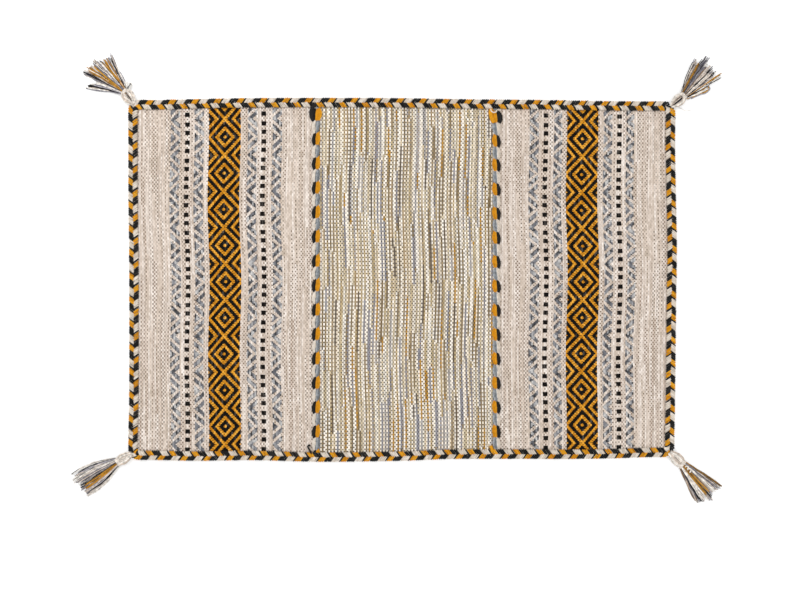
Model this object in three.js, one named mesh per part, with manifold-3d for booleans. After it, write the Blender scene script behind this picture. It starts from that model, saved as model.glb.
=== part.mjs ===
// A flat woven rug of three panels, joined by two twined cords, edged with a three-strand plait
// and finished with a tassel at each corner. Millimetres, +Z up. The origin is the middle of the
// centre panel's underside: X runs along the rug's length, Y across it.
import * as THREE from 'three';
import { mergeVertices } from 'three/addons/utils/BufferGeometryUtils.js';
import Module from 'manifold-3d';

const wasm = await Module();
wasm.setup();

// Clearance between pieces that touch on the real rug.
const GAP = 0.3;

// Cloth
const CLOTH_THICK = 5;

// Three-strand plait around the edge, half of it lying on the cloth
const PLAIT_WIDTH = 28;
const PLAIT_TOP = 10.5;
const PLAIT_VALLEY = 8.4;
const PLAIT_MIDDLE = 8.9;
const PLAIT_BULGE = 0.9;
const PLAIT_SHOULDER = 9.5;
const PLAIT_FOOT = 13;
const PLAIT_STRANDS = 3;
const PLAIT_STEPS = 2 * PLAIT_STRANDS;
const CHEVRON_LAG = 0.8;
const CHEVRON_FADE = 14;
const CORNER_RADIUS = 16;
const CORNER_ARC_STEPS = 3;
// The cloth's edge lies this far inside the plait's middle line.
const CLOTH_EDGE_INSET = 4;
const CORNER_DRAW_IN = 1;
const STRAIGHT_EDGE_STEPS = 24;
const ARC_EDGE_STEPS = 4;

// Twined cords between the panels
const CORD_X = { left: -239, right: 261.5 };
const CORD_GAP = 12;
const CORD_HALF_WIDTH = 11;
const CORD_WAIST = 7;
const CORD_TOP = 10.2;
const CORD_WAIST_TOP = 7.6;
const CORD_PITCH = 67.6;
const CORD_STEPS = 6;
const CORD_SWAY = 2;
const CORD_PHASE = 0.1;

// Tassels
const HEAD_RADIUS = 13;
const HEAD_HEIGHT = 21;
const HEAD_SIDES = 12;
const HEAD_START = 7;
const SEAT_CLEAR = 0.5;
const SEAT_SHIFTS = [[1, 0, 0], [-1, 0, 0], [0, 1, 0], [0, -1, 0], [0, 0, 1]]
  .map((axis) => axis.map((part) => part * SEAT_CLEAR));
const LOCK_THICK = 4.2;
const LOCK_WIDTH = 6.2;
const LOCK_LAYERS = [9, 8, 7];
const LOCK_STEPS = 4;
const ROOT_BACK = 24;
const ROOT_START = 10;
const ROOT_HEIGHT = 5.4;
const ROOT_RISE = 3.6;
const ROOT_THICK = 2.6;
const SETTLE = 62;
// Share of the room beside its neighbours that a lock fills, and how its steps bunch near the root
const LOCK_FILL = 0.8;
const STEP_BUNCHING = 1.3;
// Each layer up is narrower by this share and shorter by this length.
const LAYER_NARROWING = 0.06;
const LAYER_SHORTENING = 5;
const LENGTH_WAVER = 4;

// The rug's outer edge as it lies. Along is X on the back and front and Y on the left and right;
// out is the distance from the middle of the rug.
const EDGES = {
  back: [
    { along: 690, out: 497 },
    { along: 550, out: 498 },
    { along: 411, out: 500.5 },
    { along: 133, out: 503.5 },
    { along: -6, out: 506 },
    { along: -424, out: 506 },
    { along: -563, out: 503.5 },
    { along: -690, out: 500.5 },
  ],
  left: [
    { along: 440, out: 763 },
    { along: 220, out: 762.5 },
    { along: 60, out: 760.5 },
    { along: -335, out: 760.5 },
    { along: -440, out: 762.5 },
  ],
  front: [
    { along: -700, out: 502 },
    { along: -563, out: 504.5 },
    { along: -424, out: 502.5 },
    { along: -237, out: 507 },
    { along: -6, out: 504.5 },
    { along: 133, out: 499.5 },
    { along: 550, out: 498.5 },
    { along: 690, out: 494 },
  ],
  right: [
    { along: -440, out: 757.5 },
    { along: -335, out: 759.5 },
    { along: -56, out: 762.5 },
    { along: 83, out: 764.5 },
    { along: 222, out: 762 },
    { along: 380, out: 759.5 },
  ],
};

// Turns of the plait counted from the start of the back side, at the ends of each straight side
const TURNS = {
  back: { from: 0.35, to: 23.47 },
  left: { from: 23.98, to: 38.26 },
  front: { from: 39, to: 61.89 },
  right: { from: 62.3, to: 77.02 },
};
const ALL_TURNS = 77;

// Each tassel's neck, and its skirt's direction in degrees and length, from one side to the other
const TASSELS = [
  { name: 'tassel_back_left', neckX: -781, neckY: 534, from: 161, to: 116, length: 120, lengthTo: 103 },
  { name: 'tassel_front_left', neckX: -786, neckY: -512, from: 196, to: 228, length: 141, lengthTo: 125 },
  { name: 'tassel_back_right', neckX: 781, neckY: 513, from: 30, to: 74, length: 122, lengthTo: 110 },
  { name: 'tassel_front_right', neckX: 777, neckY: -521, from: -30, to: -64, length: 130, lengthTo: 118 },
];

const CREAM = { color: '#d6c6b7', roughness: 0.95, metalness: 0 };
const STRIATED = { color: '#b9ad98', roughness: 0.95, metalness: 0 };
const MUSTARD = { color: '#c8892b', roughness: 0.9, metalness: 0 };
const TASSEL_YARN = { color: '#cfc0ae', roughness: 0.95, metalness: 0 };

// Closed meshes

function volumeOf(geometry) {
  const at = geometry.getAttribute('position');
  const index = geometry.getIndex();
  const [a, b, c] = [new THREE.Vector3(), new THREE.Vector3(), new THREE.Vector3()];
  let volume = 0;
  for (let i = 0; i < index.count; i += 3) {
    a.fromBufferAttribute(at, index.getX(i));
    b.fromBufferAttribute(at, index.getX(i + 1));
    c.fromBufferAttribute(at, index.getX(i + 2));
    volume += a.dot(b.cross(c)) / 6;
  }
  return volume;
}

// Shares the vertices of a closed shape and turns its faces outwards.
function closed(geometry) {
  geometry.deleteAttribute('normal');
  geometry.deleteAttribute('uv');
  const merged = mergeVertices(geometry, 1e-3);
  if (volumeOf(merged) < 0) {
    merged.setIndex(Array.from(merged.getIndex().array).reverse());
  }
  return merged;
}

function toManifold(geometry) {
  return new wasm.Manifold(
    new wasm.Mesh({
      numProp: 3,
      vertProperties: Float32Array.from(geometry.getAttribute('position').array),
      triVerts: Uint32Array.from(geometry.getIndex().array),
    }),
  );
}

function fromManifold(solid) {
  const { vertProperties, triVerts } = solid.getMesh();
  const geometry = new THREE.BufferGeometry();
  geometry.setAttribute('position', new THREE.BufferAttribute(vertProperties, 3));
  geometry.setIndex(new THREE.BufferAttribute(triVerts, 1));
  return geometry;
}

// Moves every vertex of a straight extrusion by a rule (x, y, z) => Vector3.
function reshape(geometry, rule) {
  const at = geometry.getAttribute('position');
  for (let i = 0; i < at.count; i += 1) {
    const place = rule(at.getX(i), at.getY(i), at.getZ(i));
    at.setXYZ(i, place.x, place.y, place.z);
  }
  return closed(geometry);
}

function outline(points) {
  return new THREE.Shape(points.map(([x, y]) => new THREE.Vector2(x, y)));
}

function node(name, geometry, finish) {
  geometry.computeVertexNormals();
  const mesh = new THREE.Mesh(geometry, new THREE.MeshStandardMaterial(finish));
  mesh.name = name;
  return mesh;
}

// The middle line of the plait, once around the rug counter-clockwise from the back right corner

const SIDES = {
  back: (row) => [row.along, row.out - PLAIT_WIDTH / 2],
  left: (row) => [PLAIT_WIDTH / 2 - row.out, row.along],
  front: (row) => [row.along, PLAIT_WIDTH / 2 - row.out],
  right: (row) => [row.out - PLAIT_WIDTH / 2, row.along],
};

// Middle of the bend where the lines of two sides meet at (x, y)
function bendMiddle(x, y) {
  return new THREE.Vector2(x - Math.sign(x) * CORNER_RADIUS, y - Math.sign(y) * CORNER_RADIUS);
}

function cornerArc(middle, fromAngle) {
  const points = [];
  for (let i = 0; i <= CORNER_ARC_STEPS; i += 1) {
    const angle = fromAngle + ((Math.PI / 2) * i) / CORNER_ARC_STEPS;
    points.push([
      middle.x + CORNER_RADIUS * Math.cos(angle),
      middle.y + CORNER_RADIUS * Math.sin(angle),
    ]);
  }
  return points;
}

// Points of the middle line, the index of each straight side's first and last point, and the bends
function railPoints() {
  const sides = Object.entries(EDGES).map(([name, rows]) => ({ name, points: rows.map(SIDES[name]) }));
  const points = [];
  const marks = {};
  const corners = [];
  for (const [index, side] of sides.entries()) {
    const next = sides[(index + 1) % sides.length];
    const [endX, endY] = side.points[side.points.length - 1];
    const [nextX, nextY] = next.points[0];
    const upright = index % 2 === 1;
    const corner = upright ? bendMiddle(endX, nextY) : bendMiddle(nextX, endY);
    points.push(...side.points);
    marks[side.name] = { ...marks[side.name], to: points.length };
    points.push(...cornerArc(corner, (Math.PI / 2) * (index + 1)));
    marks[next.name] = { ...marks[next.name], from: points.length - 1 };
    corners.push(corner);
  }
  return { points, marks, corners };
}

const STEPS_PER_POINT = 40;
const { points: RAIL_POINTS, marks: SIDE_MARKS, corners: CORNERS } = railPoints();
const rail = new THREE.CatmullRomCurve3(
  RAIL_POINTS.map(([x, y]) => new THREE.Vector3(x, y, 0)),
  true,
  'centripetal',
);
rail.arcLengthDivisions = RAIL_POINTS.length * STEPS_PER_POINT;
const RAIL_LENGTHS = rail.getLengths();
const RAIL_LENGTH = RAIL_LENGTHS[RAIL_LENGTHS.length - 1];

// A point at a run along the middle line, an outward offset and a height
function onRail(run, out, up) {
  const u = THREE.MathUtils.euclideanModulo(run / RAIL_LENGTH, 1);
  const point = rail.getPointAt(u);
  const tangent = rail.getTangentAt(u);
  return new THREE.Vector3(point.x + tangent.y * out, point.y - tangent.x * out, up);
}

// Run along the middle line at each end of a straight side, growing all the way around
function sideRuns() {
  const runs = {};
  for (const name of Object.keys(SIDES)) {
    const { from, to } = SIDE_MARKS[name];
    runs[name] = {
      from: RAIL_LENGTHS[from * STEPS_PER_POINT],
      to: RAIL_LENGTHS[to * STEPS_PER_POINT],
    };
  }
  runs.back.from -= RAIL_LENGTH;
  return runs;
}

const RUNS = sideRuns();

// Knots of the map from turns of the plait to the run along the middle line
const TURN_KNOTS = [
  ...Object.keys(SIDES).flatMap((name) => [
    { turn: TURNS[name].from, run: RUNS[name].from },
    { turn: TURNS[name].to, run: RUNS[name].to },
  ]),
  { turn: TURNS.back.from + ALL_TURNS, run: RUNS.back.from + RAIL_LENGTH },
];

function runAtTurn(turn) {
  let i = 0;
  while (i < TURN_KNOTS.length - 2 && turn > TURN_KNOTS[i + 1].turn) {
    i += 1;
  }
  const [a, b] = [TURN_KNOTS[i], TURN_KNOTS[i + 1]];
  return a.run + ((turn - a.turn) / (b.turn - a.turn)) * (b.run - a.run);
}

// Plait: a rebated bar whose two rows of lobes rise by turns, swept along the middle line

const PLAIT_SECTION = [
  ['foot', PLAIT_FOOT, 0],
  ['outer', PLAIT_SHOULDER, PLAIT_TOP],
  ['middle', 0, PLAIT_MIDDLE],
  ['inner', -PLAIT_SHOULDER, PLAIT_TOP],
  ['lip', -PLAIT_FOOT, CLOTH_THICK + 3 * GAP],
  ['rebate', GAP - CLOTH_EDGE_INSET, CLOTH_THICK + GAP],
  ['heel', GAP - CLOTH_EDGE_INSET, 0],
];

function plait(name, fromTurn, toTurn) {
  const steps = Math.round((toTurn - fromTurn) * PLAIT_STEPS);
  const shape = outline(PLAIT_SECTION.map(([, out, up]) => [out, up]));
  const bar = new THREE.ExtrudeGeometry(shape, { depth: steps, steps, bevelEnabled: false });
  const startRun = runAtTurn(fromTurn) + GAP / 2;
  const endRun = runAtTurn(toTurn) - GAP / 2;
  const geometry = reshape(bar, (out, up, step) => {
    const turn = fromTurn + ((toTurn - fromTurn) * step) / steps;
    const lobe = Math.cos(Math.PI * Math.round(turn * PLAIT_STEPS)) * (out > 0 ? 1 : -1);
    const run = THREE.MathUtils.clamp(runAtTurn(turn), startRun, endRun);
    const fade = THREE.MathUtils.clamp(Math.min(run - startRun, endRun - run) / CHEVRON_FADE, 0, 1);
    const top = THREE.MathUtils.mapLinear(lobe, -1, 1, PLAIT_VALLEY, PLAIT_TOP);
    const edge = Math.abs(out) > (PLAIT_SHOULDER + PLAIT_FOOT) / 2;
    return onRail(
      run - CHEVRON_LAG * fade * Math.min(Math.abs(out), PLAIT_SHOULDER),
      edge ? out + Math.sign(out) * lobe * PLAIT_BULGE : out,
      up === PLAIT_TOP ? top : up,
    );
  });
  return node(name, geometry, MUSTARD);
}

const BACK_PLAIT = plait('back_plait', TURNS.right.to - ALL_TURNS, TURNS.left.from);
const FRONT_PLAIT = plait('front_plait', TURNS.left.to, TURNS.right.from);

// Panels: flat cloth up to the rebate of the plait, with the edge's own unevenness

function clothEdge(fromRun, toRun, steps, inset = CLOTH_EDGE_INSET) {
  const points = [];
  for (let i = 0; i <= steps; i += 1) {
    const place = onRail(fromRun + ((toRun - fromRun) * i) / steps, -inset, 0);
    points.push([place.x, place.y]);
  }
  return points;
}

// The cloth's rounded corner, drawn in a little because the plait bends in straight steps there
function clothCorner(fromRun, toRun) {
  return clothEdge(fromRun, toRun, ARC_EDGE_STEPS, CLOTH_EDGE_INSET + CORNER_DRAW_IN);
}

const HALVINGS = 40;

// Run on the back or front side at a given X, found by halving
function runAtX(sideName, x) {
  let { from: low, to: high } = RUNS[sideName];
  const falling = sideName === 'back';
  for (let i = 0; i < HALVINGS; i += 1) {
    const middle = (low + high) / 2;
    if (onRail(middle, 0, 0).x > x === falling) {
      low = middle;
    } else {
      high = middle;
    }
  }
  return low;
}

// A flat panel inside the given outline, cut straight along the joins at fromX and toX
function panel(name, points, finish, fromX, toX) {
  const trimmed = points.map(([x, y]) => [THREE.MathUtils.clamp(x, fromX, toX), y]);
  const geometry = new THREE.ExtrudeGeometry(outline(trimmed), { depth: CLOTH_THICK, bevelEnabled: false });
  return node(name, closed(geometry), finish);
}

function leftPanel() {
  const edgeX = CORD_X.left - CORD_GAP / 2;
  return panel('left_panel', [
    ...clothEdge(runAtX('back', edgeX), RUNS.back.to, STRAIGHT_EDGE_STEPS).slice(0, -1),
    ...clothCorner(RUNS.back.to, RUNS.left.from),
    ...clothEdge(RUNS.left.from, RUNS.left.to, STRAIGHT_EDGE_STEPS).slice(1, -1),
    ...clothCorner(RUNS.left.to, RUNS.front.from),
    ...clothEdge(RUNS.front.from, runAtX('front', edgeX), STRAIGHT_EDGE_STEPS).slice(1),
  ], CREAM, -Infinity, edgeX);
}

function centrePanel() {
  const [leftX, rightX] = [CORD_X.left + CORD_GAP / 2, CORD_X.right - CORD_GAP / 2];
  return panel('centre_panel', [
    ...clothEdge(runAtX('back', rightX), runAtX('back', leftX), STRAIGHT_EDGE_STEPS),
    ...clothEdge(runAtX('front', leftX), runAtX('front', rightX), STRAIGHT_EDGE_STEPS),
  ], STRIATED, leftX, rightX);
}

function rightPanel() {
  const edgeX = CORD_X.right + CORD_GAP / 2;
  return panel('right_panel', [
    ...clothEdge(runAtX('front', edgeX), RUNS.front.to, STRAIGHT_EDGE_STEPS).slice(0, -1),
    ...clothCorner(RUNS.front.to, RUNS.right.from),
    ...clothEdge(RUNS.right.from, RUNS.right.to, STRAIGHT_EDGE_STEPS).slice(1, -1),
    ...clothCorner(RUNS.right.to, RUNS.back.from + RAIL_LENGTH),
    ...clothEdge(RUNS.back.from, runAtX('back', edgeX), STRAIGHT_EDGE_STEPS).slice(1),
  ], CREAM, edgeX, Infinity);
}

// Twined cord: a web that fills the join, with lobes that lean left and right by turns on top

function seamCord(name, x) {
  const web = CORD_GAP / 2 - GAP;
  const shelf = CLOTH_THICK + GAP;
  const cheek = (CORD_TOP + shelf) / 2;
  const section = [
    [-web, 0],
    [web, 0],
    [web, shelf],
    [CORD_HALF_WIDTH, cheek],
    [CORD_HALF_WIDTH / 2, CORD_TOP],
    [-CORD_HALF_WIDTH / 2, CORD_TOP],
    [-CORD_HALF_WIDTH, cheek],
    [-web, shelf],
  ];
  const endInset = PLAIT_WIDTH / 2 + PLAIT_BULGE;
  const back = onRail(runAtX('back', x), -endInset, 0).y - GAP;
  const front = onRail(runAtX('front', x), -endInset, 0).y + GAP;
  const steps = Math.round(((back - front) / CORD_PITCH) * CORD_STEPS);
  const bar = new THREE.ExtrudeGeometry(outline(section), { depth: steps, steps, bevelEnabled: false });
  const geometry = reshape(bar, (across, up, step) => {
    const along = ((back - front) * step) / steps;
    const phase = 2 * Math.PI * (along / CORD_PITCH + CORD_PHASE);
    const swell = Math.abs(Math.cos(phase));
    if (up < shelf + GAP) {
      return new THREE.Vector3(x + across, back - along, up);
    }
    const spread = THREE.MathUtils.lerp(CORD_WAIST / CORD_HALF_WIDTH, 1, swell);
    const rise = THREE.MathUtils.lerp(CORD_WAIST_TOP, CORD_TOP, swell) - shelf;
    return new THREE.Vector3(
      x + across * spread + CORD_SWAY * Math.sin(phase),
      back - along,
      shelf + ((up - shelf) / (CORD_TOP - shelf)) * rise,
    );
  });
  return node(name, geometry, MUSTARD);
}

// Tassels

// Head along +X from 0 to its neck: a bound bulb, flattened where it lies on its side
function tasselHead(length) {
  const profile = [
    [0, 0],
    [0.42, 0],
    [0.85, 0.16],
    [1, 0.42],
    [0.86, 0.66],
    [0.56, 0.82],
    [0.58, 0.92],
    [0.76, 1],
    [0, 1],
  ].map(([radius, along]) => new THREE.Vector2(radius * HEAD_RADIUS, along * length));
  const geometry = new THREE.LatheGeometry(profile, HEAD_SIDES);
  geometry.rotateZ(-Math.PI / 2);
  geometry.scale(1, 1, HEAD_HEIGHT / 2 / HEAD_RADIUS);
  geometry.translate(0, 0, HEAD_HEIGHT / 2);
  return toManifold(closed(geometry));
}

// One lock of the skirt: a flat four-sided strand that leaves the neck and comes to rest
function lock(angle, length, layer, spacing) {
  const shape = outline([[-0.5, -0.5], [0.5, -0.5], [0.5, 0.5], [-0.5, 0.5]]);
  const size = { depth: LOCK_STEPS, steps: LOCK_STEPS, bevelEnabled: false };
  const strand = new THREE.ExtrudeGeometry(shape, size);
  const restHeight = LOCK_THICK / 2 + layer * (LOCK_THICK + GAP);
  const rootHeight = ROOT_HEIGHT + layer * ROOT_RISE;
  const [cosine, sine] = [Math.cos(angle), Math.sin(angle)];
  const geometry = reshape(strand, (across, up, step) => {
    const share = (step / LOCK_STEPS) ** STEP_BUNCHING;
    const along = THREE.MathUtils.lerp(ROOT_START, ROOT_BACK + length, share);
    const settle = THREE.MathUtils.smoothstep(along, ROOT_START, SETTLE);
    const width = Math.min(LOCK_WIDTH, along * spacing * LOCK_FILL);
    const thick = THREE.MathUtils.lerp(ROOT_THICK, LOCK_THICK, settle);
    const height = THREE.MathUtils.lerp(rootHeight, restHeight, settle);
    const side = across * width;
    return new THREE.Vector3(
      along * cosine - side * sine,
      along * sine + side * cosine,
      height + up * thick,
    );
  });
  return toManifold(geometry);
}

// The skirt of locks with the fan's point at the origin and its middle along +X
function tasselSkirt(tassel) {
  const middle = (tassel.from + tassel.to) / 2;
  const locks = [];
  for (const [layer, count] of LOCK_LAYERS.entries()) {
    const spread = (tassel.to - tassel.from) * (1 - LAYER_NARROWING * layer);
    for (let i = 0; i < count; i += 1) {
      const share = (i + 0.5) / count;
      const angle = THREE.MathUtils.degToRad(spread * (share - 0.5));
      const wave = Math.sin(7 * i + 3 * layer + middle);
      const longest = THREE.MathUtils.lerp(tassel.length, tassel.lengthTo, share);
      const length = longest + LENGTH_WAVER * (wave - 1) - LAYER_SHORTENING * layer;
      locks.push(lock(angle, length, layer, THREE.MathUtils.degToRad(Math.abs(spread)) / count));
    }
  }
  return { locks, middle: THREE.MathUtils.degToRad(middle) };
}

// The head without what would lie in the plait, or closer to it than the clearance
function seatOnPlait(head, plaitMesh) {
  const body = toManifold(plaitMesh.geometry);
  return SEAT_SHIFTS.reduce((rest, shift) => rest.subtract(body.translate(shift)), head);
}

function tassel(row) {
  const corner = CORNERS.find(({ x, y }) => x * row.neckX > 0 && y * row.neckY > 0);
  const neck = new THREE.Vector2(row.neckX, row.neckY);
  const heading = neck.clone().sub(corner).normalize();
  const start = corner.clone().addScaledVector(heading, CORNER_RADIUS + HEAD_START);
  const head = tasselHead(start.distanceTo(neck))
    .rotate([0, 0, THREE.MathUtils.radToDeg(Math.atan2(heading.y, heading.x))])
    .translate([start.x, start.y, 0]);
  const { locks, middle } = tasselSkirt(row);
  const along = new THREE.Vector2(Math.cos(middle), Math.sin(middle));
  const fanPoint = neck.clone().addScaledVector(along, -ROOT_BACK);
  const skirt = locks.map((strand) => (
    strand.rotate([0, 0, THREE.MathUtils.radToDeg(middle)]).translate([fanPoint.x, fanPoint.y, 0])
  ));
  const seated = seatOnPlait(head, row.neckY > 0 ? BACK_PLAIT : FRONT_PLAIT);
  const solid = skirt.reduce((sum, strand) => sum.add(strand), seated);
  return node(row.name, fromManifold(solid), TASSEL_YARN);
}

const rug = new THREE.Group();
rug.name = 'woven_rug';
rug.add(leftPanel(), centrePanel(), rightPanel());
rug.add(seamCord('left_seam_cord', CORD_X.left), seamCord('right_seam_cord', CORD_X.right));
rug.add(
  BACK_PLAIT,
  plait('left_plait', TURNS.left.from, TURNS.left.to),
  FRONT_PLAIT,
  plait('right_plait', TURNS.right.from, TURNS.right.to),
);
rug.add(...TASSELS.map(tassel));

export default rug;
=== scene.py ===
"""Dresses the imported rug: three woven panels, two twined joins, a plaited edge and four tassels.

Shapes are worked out in millimetres, in the frame's own axes (X along the rug, Y across it, Z up),
and turned to metres where a mesh is made.
"""

import logging
import math
from dataclasses import dataclass
from enum import Enum

import bpy
import numpy as np
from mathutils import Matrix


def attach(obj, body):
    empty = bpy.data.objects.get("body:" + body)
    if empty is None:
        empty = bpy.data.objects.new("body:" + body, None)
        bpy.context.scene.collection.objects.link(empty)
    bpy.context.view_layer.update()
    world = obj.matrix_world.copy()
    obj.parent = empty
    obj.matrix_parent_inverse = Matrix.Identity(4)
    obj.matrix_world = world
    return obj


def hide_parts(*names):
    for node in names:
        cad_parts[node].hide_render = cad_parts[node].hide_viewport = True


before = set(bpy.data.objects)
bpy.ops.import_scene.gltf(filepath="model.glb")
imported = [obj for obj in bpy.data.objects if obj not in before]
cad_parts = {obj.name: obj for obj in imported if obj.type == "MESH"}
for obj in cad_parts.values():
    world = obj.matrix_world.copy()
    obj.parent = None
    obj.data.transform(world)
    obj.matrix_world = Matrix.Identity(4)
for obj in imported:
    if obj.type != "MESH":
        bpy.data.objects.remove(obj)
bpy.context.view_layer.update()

MM = 0.001
SEED = 20

UV_NAME = "Weave"
TONE_NAME = "tone"

# Pairs of value and colour
Shades = tuple[tuple[float, str], ...]
# Pairs of two places, such as X and Y
Points = tuple[tuple[float, float], ...]

log = logging.getLogger("woven_rug")


class Side(Enum):
    """The four sides of the rug, in the order in which the plait runs."""

    BACK = 0
    LEFT = 1
    FRONT = 2
    RIGHT = 3


class Colour(Enum):
    """Colours of yarn, each with the letter that stands for it in a tassel's clumps."""

    CREAM = "c"
    GREY = "g"
    MUSTARD = "m"
    BROWN = "b"
    BLACK = "k"


class Chance(Enum):
    """Kinds of chance in the weave, each with the number that sets it apart from the others."""

    BEAD = 1.0
    YARN = 2.0
    HOLLOW = 3.0
    SEAM = 4.0
    ORDER = 6.0
    START = 11.0


# Outer edge of the rug as it lies, as (along, out): along is X on the back and front and Y on
# the left and right, and out is the distance from the middle of the rug.
EDGES = {
    Side.BACK: ((690, 497), (550, 498), (411, 500.5), (133, 503.5), (-6, 506), (-424, 506),
                (-563, 503.5), (-690, 500.5)),
    Side.LEFT: ((440, 763), (220, 762.5), (60, 760.5), (-335, 760.5), (-440, 762.5)),
    Side.FRONT: ((-700, 502), (-563, 504.5), (-424, 502.5), (-237, 507), (-6, 504.5), (133, 499.5),
                 (550, 498.5), (690, 494)),
    Side.RIGHT: ((-440, 757.5), (-335, 759.5), (-56, 762.5), (83, 764.5), (222, 762), (380, 759.5)),
}

# Turns of the plait at the two ends of each straight side, counted from the back right corner
TURNS = {
    Side.BACK: (0.35, 23.47),
    Side.LEFT: (23.98, 38.26),
    Side.FRONT: (39, 61.89),
    Side.RIGHT: (62.3, 77.02),
}
ALL_TURNS = 77

PLAIT_WIDTH = 28
CORNER_RADIUS = 16
CLOTH_EDGE_INSET = 4
CLOTH_THICK = 5
JOIN_X = {"left": -239.0, "right": 261.5}
JOIN_GAP = 12

UPWARDS = (0.0, 0.0, 1.0)
# Length that is taken as nothing
TINY = 1e-9
# A full turn, in radians, over which a wave may start
ANY_PHASE = 6.3


def linear(code: str) -> tuple[float, float, float, float]:
    """Turns an sRGB hex colour to linear RGBA.

    Args:
        code: The colour, such as "#e0c8a0".

    Returns:
        Red, green, blue and alpha.
    """
    channels = [int(code[i:i + 2], 16) / 255 for i in (1, 3, 5)]
    values = [c / 12.92 if c <= 0.04045 else ((c + 0.055) / 1.055) ** 2.4 for c in channels]
    return (values[0], values[1], values[2], 1.0)


def add_node(tree: bpy.types.NodeTree, kind: str, inputs: dict | tuple = (), output: int | str = 0,
             **settings: object) -> bpy.types.NodeSocket | None:
    """Adds a node with its settings and links.

    Args:
        tree: The material's node tree.
        kind: The node's type.
        inputs: A socket or a value for each input, in order or by name or index.
        output: The output to return.
        **settings: The node's own settings.

    Returns:
        One output of the new node, or None if it has none.
    """
    node = tree.nodes.new(kind)
    for name, value in settings.items():
        setattr(node, name, value)
    pairs = inputs.items() if isinstance(inputs, dict) else enumerate(inputs)
    for key, value in pairs:
        if isinstance(value, bpy.types.NodeSocket):
            tree.links.new(value, node.inputs[key])
        else:
            node.inputs[key].default_value = value
    return node.outputs[output] if node.outputs else None


def add_ramp(tree: bpy.types.NodeTree, value: bpy.types.NodeSocket, shades: Shades,
             stepped: bool) -> bpy.types.NodeSocket:
    """Colours a value.

    Args:
        tree: The material's node tree.
        value: The value, from 0 to 1.
        shades: Pairs of value and colour.
        stepped: True for shades with hard limits, False to blend them.

    Returns:
        The colour.
    """
    colour = add_node(tree, "ShaderNodeValToRGB", (value,))
    ramp = colour.node.color_ramp
    ramp.interpolation = "CONSTANT" if stepped else "LINEAR"
    while len(ramp.elements) < len(shades):
        ramp.elements.new(1.0)
    for element, (position, code) in zip(ramp.elements, shades):
        element.position = position
        element.color = linear(code)
    return colour


def unit(vectors: np.ndarray) -> np.ndarray:
    """Scales vectors to length 1."""
    return vectors / np.maximum(np.linalg.norm(vectors, axis=-1, keepdims=True), TINY)


def smooth_step(low: float, high: float, values: np.ndarray) -> np.ndarray:
    """Goes smoothly from 0 at low to 1 at high."""
    share = np.clip((values - low) / (high - low), 0, 1)
    return share * share * (3 - 2 * share)


# The plait's middle line

SPLINE_STEPS = 40
ARC_STEPS = 3
EDGE_SAMPLES = 400


def catmull_rom(points: np.ndarray, steps: int) -> np.ndarray:
    """Samples a closed centripetal Catmull-Rom curve.

    Args:
        points: The curve's points, (n, 2).
        steps: Samples from one point to the next.

    Returns:
        The samples, (n * steps, 2), beginning at the first point.
    """
    before, start, end, after = (np.roll(points, shift, axis=0) for shift in (1, 0, -1, -2))
    lead, span, tail = (
        np.sqrt(np.linalg.norm(b - a, axis=1))[:, None]
        for a, b in ((before, start), (start, end), (end, after))
    )
    leave = span * ((start - before) / lead - (end - before) / (lead + span) + (end - start) / span)
    arrive = span * ((end - start) / span - (after - start) / (span + tail) + (after - end) / tail)
    t = np.linspace(0, 1, steps, endpoint=False)[:, None, None]
    samples = (
        (2 * t**3 - 3 * t**2 + 1) * start + (t**3 - 2 * t**2 + t) * leave
        + (3 * t**2 - 2 * t**3) * end + (t**3 - t**2) * arrive
    )
    return samples.transpose(1, 0, 2).reshape(-1, 2)


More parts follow.
